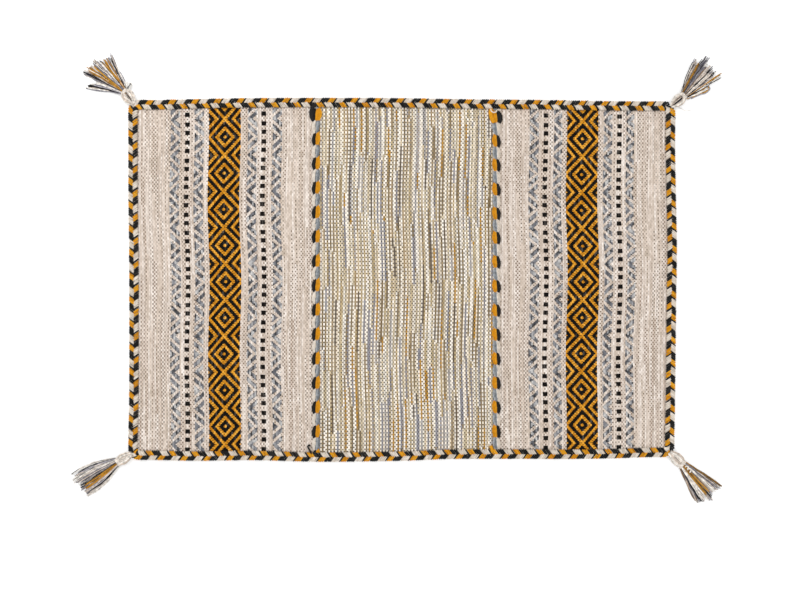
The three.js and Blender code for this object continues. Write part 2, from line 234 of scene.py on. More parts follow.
class PlaitLine:
    """The plait's middle line, once around the rug counter-clockwise from the back right corner."""

    def __init__(self) -> None:
        """Samples the line and measures it."""
        points, marks = self._points()
        self.samples = catmull_rom(np.array(points), SPLINE_STEPS)
        gaps = np.linalg.norm(np.roll(self.samples, -1, axis=0) - self.samples, axis=1)
        self.runs = np.concatenate(([0.0], np.cumsum(gaps)))
        self.length = float(self.runs[-1])
        self.tangents = unit(np.roll(self.samples, -1, axis=0) - np.roll(self.samples, 1, axis=0))
        self.side_runs = {
            side: tuple(float(self.runs[index * SPLINE_STEPS]) for index in marks[side])
            for side in Side
        }
        back_start = self.side_runs[Side.BACK][0] - self.length
        self.side_runs[Side.BACK] = (back_start, self.side_runs[Side.BACK][1])
        self.knot_turns = [turn for side in Side for turn in TURNS[side]]
        self.knot_runs = [run for side in Side for run in self.side_runs[side]]
        self.knot_turns.append(TURNS[Side.BACK][0] + ALL_TURNS)
        self.knot_runs.append(back_start + self.length)

    @staticmethod
    def _points() -> tuple[list, dict]:
        """Lays out the line's points.

        Returns:
            The points, and for each side the indices of its first and last straight point.
        """
        half = PLAIT_WIDTH / 2
        place = {
            Side.BACK: lambda along, out: (along, out - half),
            Side.LEFT: lambda along, out: (half - out, along),
            Side.FRONT: lambda along, out: (along, half - out),
            Side.RIGHT: lambda along, out: (out - half, along),
        }
        rows = {side: [place[side](*row) for row in EDGES[side]] for side in Side}
        points, starts, ends = [], {}, {}
        for side in Side:
            following = Side((side.value + 1) % len(Side))
            end, start = rows[side][-1], rows[following][0]
            corner = (end[0], start[1]) if side.value % 2 else (start[0], end[1])
            middle = [c - math.copysign(CORNER_RADIUS, c) for c in corner]
            points += rows[side]
            ends[side] = len(points)
            for step in range(ARC_STEPS + 1):
                angle = math.pi / 2 * (side.value + 1 + step / ARC_STEPS)
                points.append((middle[0] + CORNER_RADIUS * math.cos(angle),
                               middle[1] + CORNER_RADIUS * math.sin(angle)))
            starts[following] = len(points) - 1
        return points, {side: (starts[side], ends[side]) for side in Side}

    def place(self, run: np.ndarray, out: np.ndarray) -> tuple[np.ndarray, np.ndarray]:
        """Finds points beside the line.

        Args:
            run: Distances along the line.
            out: Distances outwards from it.

        Returns:
            X and Y of the points.
        """
        run = np.mod(run, self.length)
        closed = np.vstack((self.samples, self.samples[:1]))
        turns = np.vstack((self.tangents, self.tangents[:1]))
        x, y = (np.interp(run, self.runs, closed[:, axis]) for axis in (0, 1))
        tx, ty = (np.interp(run, self.runs, turns[:, axis]) for axis in (0, 1))
        size = np.hypot(tx, ty)
        return x + ty / size * out, y - tx / size * out

    def run_at_turn(self, turn: np.ndarray) -> np.ndarray:
        """Finds how far along the line a turn of the plait lies.

        Args:
            turn: Turns, counted from the back right corner.

        Returns:
            The distances.
        """
        laps = np.floor((turn - self.knot_turns[0]) / ALL_TURNS)
        within = np.interp(turn - laps * ALL_TURNS, self.knot_turns, self.knot_runs)
        return within + laps * self.length

    def cloth_edge(self, side: Side, along: np.ndarray) -> np.ndarray:
        """Finds the cloth's edge under the plait.

        Args:
            side: Which side of the rug.
            along: X on the back and front, Y on the left and right.

        Returns:
            Y on the back and front, X on the left and right.
        """
        run = np.linspace(*self.side_runs[side], EDGE_SAMPLES)
        x, y = self.place(run, np.full_like(run, -CLOTH_EDGE_INSET))
        keys, values = (x, y) if side in (Side.BACK, Side.FRONT) else (y, x)
        order = np.argsort(keys)
        return np.interp(along, keys[order], values[order])

    def corners(self) -> list[tuple[float, float]]:
        """Finds the middles of the four bends.

        Returns:
            X and Y of each, from the back left one on.
        """
        half_bend = CORNER_RADIUS * math.pi / 4
        runs = np.array([self.side_runs[side][1] + half_bend for side in Side])
        x, y = self.place(runs, np.full(len(runs), -CORNER_RADIUS))
        return list(zip(x.tolist(), y.tolist()))


LINE = PlaitLine()


# Meshes

# Least length of the level direction across a path: a path with less is too steep for it
STEEP = 0.1


@dataclass
class Tubes:
    """Yarns as closed tubes: all have the same number of rings and of sides.

    Attributes:
        points: Middle points of the rings, (yarns, rings, 3), in mm.
        radii: Half widths across and up of each ring, (yarns, rings, 2), in mm.
        tones: One number a yarn that its finish reads.
        sides: Points in a ring.
        level: True if rings stay upright, for a path that never climbs steeply.
    """

    points: np.ndarray
    radii: np.ndarray
    tones: np.ndarray
    sides: int = 6
    level: bool = True

    def frames(self) -> tuple[np.ndarray, np.ndarray]:
        """Finds the two directions that each ring spans.

        Returns:
            The directions across and up, each (yarns, rings, 3).
        """
        tangents = unit(np.gradient(self.points, axis=1))
        if self.level:
            across = unit(np.cross(tangents, UPWARDS))
        else:
            across = np.zeros_like(tangents)
            first = np.cross(tangents[:, 0], UPWARDS)
            weak = np.linalg.norm(first, axis=1) < STEEP
            first[weak] = np.cross(tangents[weak, 0], (0.0, 1.0, 0.0))
            across[:, 0] = unit(first)
            for ring in range(1, tangents.shape[1]):
                carried = across[:, ring - 1]
                lean = np.sum(carried * tangents[:, ring], axis=1, keepdims=True)
                across[:, ring] = unit(carried - lean * tangents[:, ring])
        return across, np.cross(across, tangents)

    def arrays(self) -> tuple[np.ndarray, list, np.ndarray, np.ndarray]:
        """Builds the mesh data.

        Returns:
            Vertices, faces, UVs of the face corners (length in mm, share of the way around) and
            the tone of each vertex.
        """
        across, up = self.frames()
        yarns, rings, _ = self.points.shape
        angle = np.linspace(0, 2 * math.pi, self.sides, endpoint=False)
        wide, high = (size[:, :, None, None] for size in np.moveaxis(self.radii, 2, 0))
        ring_x = np.cos(angle)[None, None, :, None] * wide * across[:, :, None]
        ring_z = np.sin(angle)[None, None, :, None] * high * up[:, :, None]
        vertices = (self.points[:, :, None] + ring_x + ring_z).reshape(-1, 3)
        index = np.arange(len(vertices)).reshape(yarns, rings, self.sides)
        here, ahead = index[:, :-1], index[:, 1:]
        next_here, next_ahead = (np.roll(ring, -1, axis=2) for ring in (here, ahead))
        quads = np.stack((here, ahead, next_ahead, next_here), axis=-1)
        ends = index[:, 0].tolist() + index[:, -1, ::-1].tolist()
        steps = np.linalg.norm(np.diff(self.points, axis=1), axis=2)
        start = np.concatenate((np.zeros((yarns, 1)), np.cumsum(steps, axis=1)), axis=1)
        u0 = np.broadcast_to(start[:, :-1, None], quads.shape[:3])
        u1 = np.broadcast_to(start[:, 1:, None], quads.shape[:3])
        v0 = np.broadcast_to(np.arange(self.sides) / self.sides, quads.shape[:3])
        v1 = v0 + 1 / self.sides
        uvs = np.stack((u0, v0, u1, v0, u1, v1, u0, v1), axis=-1).reshape(-1, 2)
        uvs = np.vstack((uvs, np.zeros((2 * yarns * self.sides, 2))))
        tones = np.repeat(self.tones, rings * self.sides)
        return vertices, quads.reshape(-1, 4).tolist() + ends, uvs, tones


def join_tubes(parts: list[Tubes]) -> tuple[np.ndarray, list, np.ndarray, np.ndarray]:
    """Joins the mesh data of several sets of tubes.

    Args:
        parts: The sets.

    Returns:
        Vertices, faces, UVs of the face corners and the tone of each vertex.
    """
    vertices, faces, uvs, tones = [], [], [], []
    count = 0
    for part in parts:
        points, polygons, corners, values = part.arrays()
        faces += [[count + vertex for vertex in polygon] for polygon in polygons]
        vertices.append(points)
        uvs.append(corners)
        tones.append(values)
        count += len(points)
    return np.vstack(vertices), faces, np.vstack(uvs), np.concatenate(tones)


def yarn_piece(name: str, parts: list[Tubes], material: bpy.types.Material) -> bpy.types.Object:
    """Makes one object of yarns.

    Args:
        name: The piece's name.
        parts: Its yarns.
        material: Its finish.

    Returns:
        The new object.
    """
    vertices, faces, uvs, tones = join_tubes(parts)
    mesh = bpy.data.meshes.new(name)
    mesh.from_pydata((vertices * MM).tolist(), [], faces)
    layer = mesh.uv_layers.new(name=UV_NAME)
    layer.data.foreach_set("uv", uvs.ravel())
    tone = mesh.attributes.new(TONE_NAME, "FLOAT", "POINT")
    tone.data.foreach_set("value", tones)
    mesh.polygons.foreach_set("use_smooth", np.ones(len(mesh.polygons), dtype=bool))
    mesh.materials.append(material)
    mesh.update()
    piece = bpy.data.objects.new(name, mesh)
    bpy.context.scene.collection.objects.link(piece)
    return piece


def settle(piece: bpy.types.Object, nodes: tuple[str, ...]) -> None:
    """Rides a piece on the rug, hides the CAD nodes that it replaces and logs its triangles.

    Args:
        piece: The piece.
        nodes: The CAD nodes that it replaces.
    """
    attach(piece, "root")
    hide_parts(*nodes)
    triangles = sum(len(polygon.vertices) - 2 for polygon in piece.data.polygons)
    log.info("%s: %d triangles", piece.name, triangles)


@dataclass(frozen=True)
class FlatBundle:
    """Yarns side by side along a path, over a soft core.

    Attributes:
        count: Yarns side by side.
        sides: Sides of each yarn.
        overlap: Width of a yarn, as a share of its room in the bundle.
        wander: How far a yarn strays sideways, as a share of the bundle's half width.
        lift: How far it strays up and down, in mm.
        slowest: Rings in the longest wave of a straying yarn.
        fastest: Rings in the shortest one.
        waves: Waves that a yarn's straying is made of.
        arch: How far out on the bundle's round back the yarns lie, as a share of its half width.
        core_width: Width of the core, as a share of the bundle's.
        core_height: Its height, in the same way.
        core_drop: How far it lies under the path, as a share of the bundle's half height.
        core_sides: Its sides.
    """

    count: int
    sides: int
    overlap: float = 1.16
    wander: float = 0.07
    lift: float = 0.35
    slowest: int = 12
    fastest: int = 4
    waves: int = 3
    arch: float = 0.85
    core_width: float = 0.94
    core_height: float = 0.8
    core_drop: float = 0.15
    core_sides: int = 8

    def lay(self, middle: np.ndarray, half_width: np.ndarray, half_height: np.ndarray,
            rng: np.random.Generator) -> list[Tubes]:
        """Lays the bundle.

        Args:
            middle: The path, (rings, 3).
            half_width: Half the bundle's width at each ring.
            half_height: Half its height at each ring.
            rng: Source of the yarns' unevenness.

        Returns:
            The yarns and their core.
        """
        across = unit(np.cross(unit(np.gradient(middle, axis=0)), UPWARDS))
        up = np.cross(across, unit(np.gradient(middle, axis=0)))
        rings = len(middle)
        turn = np.arange(rings) * 2 * math.pi / rings
        radius = half_width / self.count * self.overlap
        paths = []
        for place in (2 * np.arange(self.count) - (self.count - 1)) / self.count:
            beats = rng.integers(rings // self.slowest + 1, rings // self.fastest + 2, self.waves)
            aside, raised = (
                sum(np.sin(beat * turn + rng.uniform(0, ANY_PHASE)) for beat in order) / self.waves
                for order in (beats, beats[::-1])
            )
            shift = (place + self.wander * aside) * half_width
            rise = half_height * np.sqrt(1 - (self.arch * place) ** 2) - radius + self.lift * raised
            paths.append(middle + across * shift[:, None] + up * rise[:, None])
        radii = np.broadcast_to(radius[:, None], (self.count, rings, 2))
        yarns = Tubes(np.array(paths), radii, rng.uniform(0, 1, self.count), self.sides)
        core = middle - self.core_drop * half_height[:, None] * up
        sizes = np.stack((self.core_width * half_width, self.core_height * half_height), axis=1)
        return [yarns, Tubes(core[None], sizes[None], np.array([0.5]), self.core_sides)]


@dataclass(frozen=True)
class Stray:
    """A loose end or loop of yarn.

    Attributes:
        colour: Its colour.
        radius: Half its thickness, in mm.
        height: Height of its middle, in mm.
        points: X and Y of the places that it passes, in mm.
        rings: Rings for each of these places.
        rounds: How often the path's bends are eased.
        taper: Thickness of the two outer rings at each end, as shares of the rest.
        sides: Its sides.
    """

    colour: Colour
    radius: float
    height: float
    points: Points
    rings: int = 6
    rounds: int = 3
    taper: tuple[float, float] = (0.55, 0.85)
    sides: int = 8

    def tube(self, tone: float) -> Tubes:
        """Lays the yarn.

        Args:
            tone: Its tone.

        Returns:
            The yarn's tube.
        """
        spots = np.array(self.points, dtype=float)
        times = np.linspace(0, len(spots) - 1, self.rings * len(spots))
        keys = np.arange(len(spots))
        flat = np.column_stack([np.interp(times, keys, spots[:, axis]) for axis in (0, 1)])
        for _ in range(self.rounds):
            flat[1:-1] = (flat[:-2] + 2 * flat[1:-1] + flat[2:]) / 4
        path = np.column_stack((flat, np.full(len(flat), self.height)))
        radii = np.full((1, len(flat), 2), self.radius)
        for ring, share in enumerate(self.taper):
            radii[:, (ring, -1 - ring)] *= share
        return Tubes(path[None], radii, np.array([tone]), self.sides)


# Finishes

MATH = "ShaderNodeMath"
RANGE = "ShaderNodeMapRange"
MIX = "ShaderNodeMix"
# Inputs of a mix of colours, and its settings
SHARE, PLAIN, OVER = 0, 6, 7
COLOURS = {"output": 2, "data_type": "RGBA"}
# Values that most of a noise lies between
NOISE_SPREAD = (0.3, 0.7)


def new_tree(name: str) -> tuple[bpy.types.Material, bpy.types.NodeTree]:
    """Makes an empty node material.

    Args:
        name: The material's name.

    Returns:
        The material and its node tree.
    """
    material = bpy.data.materials.new(name)
    material.use_nodes = True
    material.node_tree.nodes.clear()
    return material, material.node_tree


def specks(tree: bpy.types.NodeTree, per_mm: float, detail: float,
           roughness: float) -> bpy.types.NodeSocket:
    """Draws unevenness that stays with the piece, such as loose fibres.

    Args:
        tree: The material's node tree.
        per_mm: Specks in a millimetre.
        detail: Finer layers of specks.
        roughness: How strong the finer layers are.

    Returns:
        A value from -1 to 1.
    """
    position = add_node(tree, "ShaderNodeTexCoord", output="Object")
    noise = add_node(tree, "ShaderNodeTexNoise", {
        "Vector": position, "Scale": per_mm / MM, "Detail": detail, "Roughness": roughness})
    return add_node(tree, RANGE, (noise, *NOISE_SPREAD, -1.0, 1.0))


@dataclass(frozen=True)
class CottonYarn:
    """Plied cotton yarn: matt, with a faint sheen of loose fibres and the slant of its plies.

    Attributes:
        name: The finish's name.
        shades: Colours over the tone of a yarn, as (from this tone, colour).
        stepped: True for shades with hard limits, False to blend them.
        plies: Threads that are twisted together.
        ply_pitch: Length of one turn of the plies, in mm.
        ply_shade: How strongly painted shade darkens the grooves between the plies, beside the
            fibres.
        ply_height: How deep they are, beside the fibres.
        fleck_and_shade: How strongly the fibres' flecks and the plies' painted light and shade vary
            it.
        flank_shade: Painted shade: how much darker its sides are than its top, as between yarns.
        flank_rise: Heights between which its painted shade gives way, from 0 at its middle to 1 on
            top.
        fibre: Colour of the loose fibres.
        fibres_per_mm: Drawn fibres in a millimetre. Real ones, about 0.02 mm thick, are too fine
            to show.
        fibre_shade: How strongly single fibres show, beside the slubs.
        slubs_per_mm: Thicker places in a millimetre of yarn.
    """

    name: str
    shades: Shades
    stepped: bool = False
    plies: int = 3
    ply_pitch: float = 7.0
    ply_shade: float = 0.5
    ply_height: float = 0.7
    fleck_and_shade: float = 0.125
    flank_shade: float = 0.3
    flank_rise: tuple[float, float] = (0.1, 0.75)
    fibre: str = "#f4ead8"
    fibres_per_mm: float = 1.8
    fibre_shade: float = 0.6
    slubs_per_mm: float = 0.13

    def build(self) -> bpy.types.Material:
        """Builds the finish.

        Returns:
            Its material.
        """
        material, tree = new_tree(self.name)
        uv = add_node(tree, "ShaderNodeUVMap", uv_map=UV_NAME)
        length = add_node(tree, "ShaderNodeSeparateXYZ", (uv,))
        around = length.node.outputs[1]
        tone = add_node(tree, "ShaderNodeAttribute", output="Fac", attribute_name=TONE_NAME)
        shade = add_ramp(tree, tone, self.shades, self.stepped)
        # The plies lie slantwise: the grooves between them are lower and painted darker, their
        # crests lighter.
        turns = add_node(tree, MATH, (length, 2 * math.pi / self.ply_pitch), operation="MULTIPLY")
        slant = add_node(tree, MATH, (around, 2 * math.pi * self.plies, turns),
                         operation="MULTIPLY_ADD")
        ply = add_node(tree, MATH, (slant,), operation="SINE")
        fuzz = specks(tree, self.fibres_per_mm, detail=3.0, roughness=0.7)
        slub = specks(tree, self.slubs_per_mm, detail=1.0, roughness=0.5)
        mixed = add_node(tree, MATH, (fuzz, self.fibre_shade, slub), operation="MULTIPLY_ADD")
        shaded = add_node(tree, MATH, (ply, self.ply_shade, mixed), operation="MULTIPLY_ADD")
        value = add_node(tree, MATH, (shaded, self.fleck_and_shade, 1.0), operation="MULTIPLY_ADD")
        # Painted shade: little light comes between yarns, so a yarn's flanks are painted darker
        # than its top.
        angle = add_node(tree, MATH, (around, 2 * math.pi), operation="MULTIPLY")
        upward = add_node(tree, MATH, (angle,), operation="SINE")
        flank_shade = add_node(tree, RANGE, (upward, *self.flank_rise, 1.0 - self.flank_shade, 1.0))
        value = add_node(tree, MATH, (value, flank_shade), operation="MULTIPLY")
        colour = add_node(tree, "ShaderNodeHueSaturation", {"Value": value, "Color": shade})
        height = add_node(tree, MATH, (ply, self.ply_height, fuzz), operation="MULTIPLY_ADD")
        bump = add_node(tree, "ShaderNodeBump",
                        {"Strength": 0.6, "Distance": 0.4 * MM, "Height": height})
        shader = add_node(tree, "ShaderNodeBsdfPrincipled", {
            "Base Color": colour, "Roughness": 0.92, "Normal": bump, "IOR": 1.54,
            "Specular IOR Level": 0.25, "Sheen Weight": 0.2, "Sheen Roughness": 0.5,
            "Sheen Tint": linear(self.fibre),
        })
        add_node(tree, "ShaderNodeOutputMaterial", {"Surface": shader})
        return material


# Dyed cotton: the dye sits in the whole yarn, so it is one warm, matt colour with lighter fibres.
MUSTARD_YARN = CottonYarn("mustard_dyed_cotton",
                          ((0.0, "#cf850a"), (0.5, "#e09814"), (1.0, "#ecaa28")),
                          fibre="#ffc060")
# Black dye takes most of the light: what shows its plies is the grey edge of loose fibres.
BLACK_YARN = CottonYarn("black_dyed_cotton",
                        ((0.0, "#131313"), (0.5, "#1b1b1b"), (1.0, "#2d2c2b")),
                        fleck_and_shade=0.25, fibre="#5c5955")
# Undyed cotton keeps its natural cream, a little different in each yarn.
CREAM_YARN = CottonYarn("undyed_cream_cotton",
                        ((0.0, "#d9cbbb"), (0.5, "#e6dacb"), (1.0, "#f0e6da")))
# Marled yarn has dark and light threads twisted together, which flecks its grey.
GREY_YARN = CottonYarn("marled_grey_cotton",
                       ((0.0, "#747a7f"), (0.5, "#8d9297"), (1.0, "#b0b4b8")), fleck_and_shade=0.3)
# The tassels are of all these yarns, mixed: each has one clear shade of its own.
TASSEL_YARN = CottonYarn("mixed_tassel_cotton", (
    (0.0, "#fffaf2"), (0.1, "#f3e9de"), (0.2, "#dccdbf"), (0.3, "#b5b1b8"), (0.4, "#85828b"),
    (0.5, "#d39a30"), (0.6, "#bd8527"), (0.7, "#8a6633"), (0.8, "#2a262b"), (0.9, "#100f12"),
), stepped=True, fleck_and_shade=0.3, flank_shade=0.62)
# Tones that the yarns of each colour of lock take, and those of odd yarns in any lock:
# real mixed yarns, whose black ones also stand in as painted shade between the light yarns
LOCK_TONES = {
    Colour.CREAM: (0.05, 0.05, 0.15, 0.25, 0.85),
    Colour.GREY: (0.35, 0.35, 0.25, 0.45),
    Colour.MUSTARD: (0.55, 0.65, 0.65, 0.75),
    Colour.BROWN: (0.65, 0.75, 0.25, 0.45),
    Colour.BLACK: (0.85, 0.95, 0.95, 0.45),
}
ODD_AND_SHADE_TONES = (0.05, 0.05, 0.45, 0.95, 0.95)
# Layers, from the floor up, of the locks that show most
LOCK_LEVELS = {Colour.MUSTARD: 2, Colour.BLACK: 1}


@dataclass(frozen=True)
class Bands:
    """Where a patterned panel's columns lie, in mm along X.

    Attributes:
        zigzags: Left edges of the grey zigzag bands.
        zigzag_width: Their width.
        dots: Middles of the rows of dots.
        diamonds: Middle of the band of diamonds.
        diamond_half: Half its width.
    """

    zigzags: tuple[float, ...]
    zigzag_width: float
    dots: tuple[float, ...]
    diamonds: float
    diamond_half: float


LEFT_BANDS = Bands(zigzags=(-645.1, -578.3, -432.1, -364.0), zigzag_width=26.4,
                   dots=(-600.0, -387.1), diamonds=-495.3, diamond_half=43.8)
RIGHT_BANDS = Bands(zigzags=(352.3, 419.1, 558.8, 621.4), zigzag_width=24.0,
                    dots=(396.5, 602.8), diamonds=499.5, diamond_half=43.2)

# Crossings of warp and weft from the front edge to the back, and the row of the first diamond
CROSSINGS = 174
FIRST_DIAMOND = 13.9
HALF_REPEAT = 9.0
PICK_PITCH = 4.4
# How far a bead swells over the ends of its neighbours, in picks
BEAD_SWELL = 0.06
# Crossings by which the lengths of yarn are shifted, and the cell that the shift's chance reads
START_SHIFT = 200.0
START_CELL = 3.5
# Share of a cream bead's shade that is its own; the rest is its yarn's
BEAD_SHARE = 0.4
# Picks that keep one order of light and dark yarns, and strength of the painted hollow shade in
# light and dark
ORDERED_PICKS = 2.0
ORDER_HOLLOWS = (0.9, 1.1)
# Measures between which painted shade comes in: a bead's crest, where the weft dives, and the
# distance from a pick's middle, in picks, for a hollow's sides and for the groove beside the pick
DIVE = (-0.1, -0.85)
HOLLOW_SIDES = (0.25, 0.5)
GROOVE_SIDES = (0.3, 0.45)
# Turns of the weft's own twist for each crossing, and how deep they are beside its fibres
WEFT_TWIST = 1.7
WEFT_HEIGHT = 0.6
# Drawn fibres in a millimetre of cloth: real ones, about 0.02 mm thick, are too fine to show.
CLOTH_FIBRES = 1.5
FIBRE_SHADE = 0.07

# Zigzag stripes, in crossings: rise for each mm across, the first stripe's place, their distance
# and half their height, and where their darker rim lies
ZIGZAG_SLOPE = 0.1611
ZIGZAG_START = HALF_REPEAT + 0.897
ZIGZAG_PERIOD = 4.335
ZIGZAG_HALF = (1.05, 1.45)
ZIGZAG_RIM = (0.55, 1.1)
RIM_SHADE = 0.35
# Dots: half width in mm, and their rows and half height in crossings from a diamond's middle
DOT_HALF = 6.0
DOT_ROWS = (2.42, 6.55)
DOT_HEIGHT = 1.1
# Diamonds: mm across for each crossing of height, crossings from one mustard line to halfway to
# the next, half a line's height, and where and how strongly painted shade darkens the weft's dives
DIAMOND_STEP = 5.0
DIAMOND_RING = 2.25
DIAMOND_LINE = 1.0
DIAMOND_DIVE = (-0.3, -0.9)
DIAMOND_SHADE = 0.75

CREAM_SHADES = ((0.0, "#d0bfae"), (0.35, "#decec0"), (0.7, "#eaddd2"), (1.0, "#f7eee6"))
STRIATED_LIGHT = ((0.0, "#fdf5e9"), (0.5, "#f9efe0"), (0.82, "#f1e4cf"), (0.97, "#e4d5bd"))
STRIATED_DARK = ((0.0, "#d0bf9f"), (0.25, "#c1ac84"), (0.38, "#b0aba9"), (0.48, "#bf8f3e"),
                 (0.56, "#a89270"), (0.7, "#96949b"), (0.84, "#8f7b5a"), (0.95, "#6d6153"))
MARLED_SHADES = ((0.0, "#38393b"), (0.5, "#7b7c82"), (1.0, "#cbc9c7"))
MARLED_RIM = "#2b2927"
BLACK_SHADES = ((0.0, "#080605"), (0.6, "#110d0a"), (0.85, "#211c18"), (1.0, "#4a4642"))
MUSTARD_SHADES = ((0.0, "#cd8212"), (0.5, "#e29a22"), (1.0, "#f2b042"))
DIAMOND_HOLLOW_SHADE = "#6b4317"


@dataclass(frozen=True)
class Cloth:
    """How the yarns of one kind of cloth vary, and the shade painted between them.

    Attributes:
        yarn_length: Crossings over which a yarn keeps its shade.
        uneven: How much lighter or darker than its yarn a bead may be.
        hollow_shade: Colours of the painted shade where the weft dives under the warp, over chance.
        stepped: True if these have hard limits.
        hollow_depths: Strength of that painted shade, as (from chance, to chance, least, most).
        hollow_edge: Their strength at a pick's sides, as a share of that in its middle.
        groove: Colour of the painted shade in the open grooves between picks.
        groove_depths: Strength of that painted groove shade, given as that of the hollow shade is.
    """

    yarn_length: float
    uneven: float
    hollow_shade: Shades
    stepped: bool
    hollow_depths: tuple[float, float, float, float]
    hollow_edge: float
    groove: str
    groove_depths: tuple[float, float, float, float]


CREAM_CLOTH = Cloth(
    yarn_length=34.0, uneven=0.09,
    hollow_shade=((0.0, "#5d5040"), (0.5, "#75634f"), (1.0, "#8a6f60")), stepped=False,
    hollow_depths=(0.3, 0.85, 0.2, 1.4), hollow_edge=0.0,
    groove="#86725f", groove_depths=(0.4, 0.95, 0.05, 0.75),
)
STRIATED_CLOTH = Cloth(
    yarn_length=30.0, uneven=0.16,
    hollow_shade=((0.0, "#3a2f22"), (0.22, "#4a4845"), (0.42, "#7d5a22"), (0.56, "#54565e"),
             (0.72, "#5e4a34"), (0.88, "#8a8078")), stepped=True,
    hollow_depths=(0.0, 0.9, 0.6, 1.25), hollow_edge=0.45,
    groove="#55452f", groove_depths=(0.5, 0.85, 0.0, 0.8),
)


@dataclass(frozen=True)
class Places:
    """Sockets that say where a point lies in the weave.

    Attributes:
        pick: Count of picks from the cloth's left edge.
        row: Count of crossings from its front edge.
        number: The pick's number.
        crest: 1 on top of a bead of weft, -1 where the weft dives under the warp.
        aside: Distance from the pick's middle, in picks.
        chance: A random number for each bead.
        yarn: A random number for each length of yarn.
        hollow: A random number for each pick.
        seam: A random number for each groove between picks.
    """

    pick: bpy.types.NodeSocket
    row: bpy.types.NodeSocket
    number: bpy.types.NodeSocket
    crest: bpy.types.NodeSocket
    aside: bpy.types.NodeSocket
    chance: bpy.types.NodeSocket
    yarn: bpy.types.NodeSocket
    hollow: bpy.types.NodeSocket
    seam: bpy.types.NodeSocket


@dataclass(frozen=True)
class WovenCotton:
    """Weft-faced plain weave: beads of weft two crossings long that step by one from pick to pick.

    Attributes:
        name: The finish's name.
        first_x: X of the cloth's left edge, in mm.
        pitch: Distance between picks, in mm.
        bands: The pattern's columns, or None for the striated cloth.
        cloth: How its yarns vary.
    """

    name: str
    first_x: float
    pitch: float
    bands: Bands | None
    cloth: Cloth

    def picks(self, x: float) -> float:
        """Turns X to a count of picks from the cloth's left edge."""
        return (x - self.first_x) / self.pitch

    @staticmethod
    def chance_at(tree: bpy.types.NodeTree, across: bpy.types.NodeSocket,
                  along: bpy.types.NodeSocket | float, kind: Chance) -> bpy.types.NodeSocket:
        """Gives a random number for each cell of the weave.

        Args:
            tree: The material's node tree.
            across: The cell's number across the picks.
            along: Its number along them.
            kind: What the number is for.

        Returns:
            A number from 0 to 1.
        """
        cell = add_node(tree, "ShaderNodeCombineXYZ", (across, along, kind.value))
        return add_node(tree, "ShaderNodeTexWhiteNoise", (cell,), noise_dimensions="3D")

    def length_at(self, tree: bpy.types.NodeTree, across: bpy.types.NodeSocket,
                  row: bpy.types.NodeSocket) -> bpy.types.NodeSocket:
        """Numbers the lengths of yarn in a pick, which end at another place in each pick.

        Args:
            tree: The material's node tree.
            across: The pick's number.
            row: Count of crossings.

        Returns:
            The number of the length.
        """
        start = self.chance_at(tree, across, START_CELL, Chance.START)
        moved = add_node(tree, MATH, (start, START_SHIFT, row), operation="MULTIPLY_ADD")
        lengths = add_node(tree, MATH, (moved, self.cloth.yarn_length), operation="DIVIDE")
        return add_node(tree, MATH, (lengths,), operation="FLOOR")

    def places(self, tree: bpy.types.NodeTree) -> Places:
        """Finds the pick, crossing and bead of a point.

        Args:
            tree: The material's node tree.

        Returns:
            The point's place in the weave.
        """
        uv = add_node(tree, "ShaderNodeUVMap", uv_map=UV_NAME)
        pick = add_node(tree, "ShaderNodeSeparateXYZ", (uv,))
        row = pick.node.outputs[1]
        # A bead is widest at its crest: there it covers part of the hollows beside it.
        edge = add_node(tree, MATH, (pick,), operation="ROUND")
        beside = add_node(tree, MATH, (row, edge), operation="ADD")
        beside = add_node(tree, MATH, (beside, math.pi), operation="MULTIPLY")
        swell = add_node(tree, MATH, (beside,), operation="COSINE")
        pick = add_node(tree, MATH, (swell, BEAD_SWELL, pick), operation="MULTIPLY_ADD")
        number = add_node(tree, MATH, (pick,), operation="FLOOR")
        stepped = add_node(tree, MATH, (row, number), operation="ADD")
        angle = add_node(tree, MATH, (stepped, math.pi), operation="MULTIPLY")
        crest = add_node(tree, MATH, (angle,), operation="COSINE")
        halves = add_node(tree, MATH, (stepped, 0.5, 0.5), operation="MULTIPLY_ADD")
        bead = add_node(tree, MATH, (halves,), operation="FLOOR")
        inside = add_node(tree, MATH, (pick,), operation="FRACT")
        offset = add_node(tree, MATH, (inside, 0.5), operation="SUBTRACT")
        aside = add_node(tree, MATH, (offset,), operation="ABSOLUTE")
        length = self.length_at(tree, number, row)
        stretch = self.length_at(tree, edge, row)
        return Places(pick, row, number, crest, aside,
                      chance=self.chance_at(tree, number, bead, Chance.BEAD),
                      yarn=self.chance_at(tree, number, length, Chance.YARN),
                      hollow=self.chance_at(tree, number, length, Chance.HOLLOW),
                      seam=self.chance_at(tree, edge, stretch, Chance.SEAM))

    def build(self) -> bpy.types.Material:
        """Builds the finish.

        Returns:
            Its material.
        """
        material, tree = new_tree(self.name)
        at = self.places(tree)
        if self.bands:
            colour = self.hollow_shade(tree, at, self.cream(tree, at), 1.0)
            colour = self.pattern(tree, at, colour)
        else:
            colour = self.striated(tree, at)
        fuzz = specks(tree, CLOTH_FIBRES, detail=3.0, roughness=0.7)
        uneven = self.cloth.uneven
        spread = add_node(tree, RANGE, (at.chance, 0.0, 1.0, 1 - uneven, 1 + uneven))
        value = add_node(tree, MATH, (fuzz, FIBRE_SHADE, spread), operation="MULTIPLY_ADD")
        colour = add_node(tree, "ShaderNodeHueSaturation", {"Value": value, "Color": colour})
        # The weft's own twist, drawn as slanting threads
        twist = add_node(tree, MATH, (at.pick, 2 * math.pi), operation="MULTIPLY")
        twist = add_node(tree, MATH, (at.row, 2 * math.pi * WEFT_TWIST, twist),
                         operation="MULTIPLY_ADD")
        ply = add_node(tree, MATH, (twist,), operation="SINE")
        height = add_node(tree, MATH, (ply, WEFT_HEIGHT, fuzz), operation="MULTIPLY_ADD")
        bump = add_node(tree, "ShaderNodeBump",
                        {"Strength": 0.5, "Distance": 0.4 * MM, "Height": height})
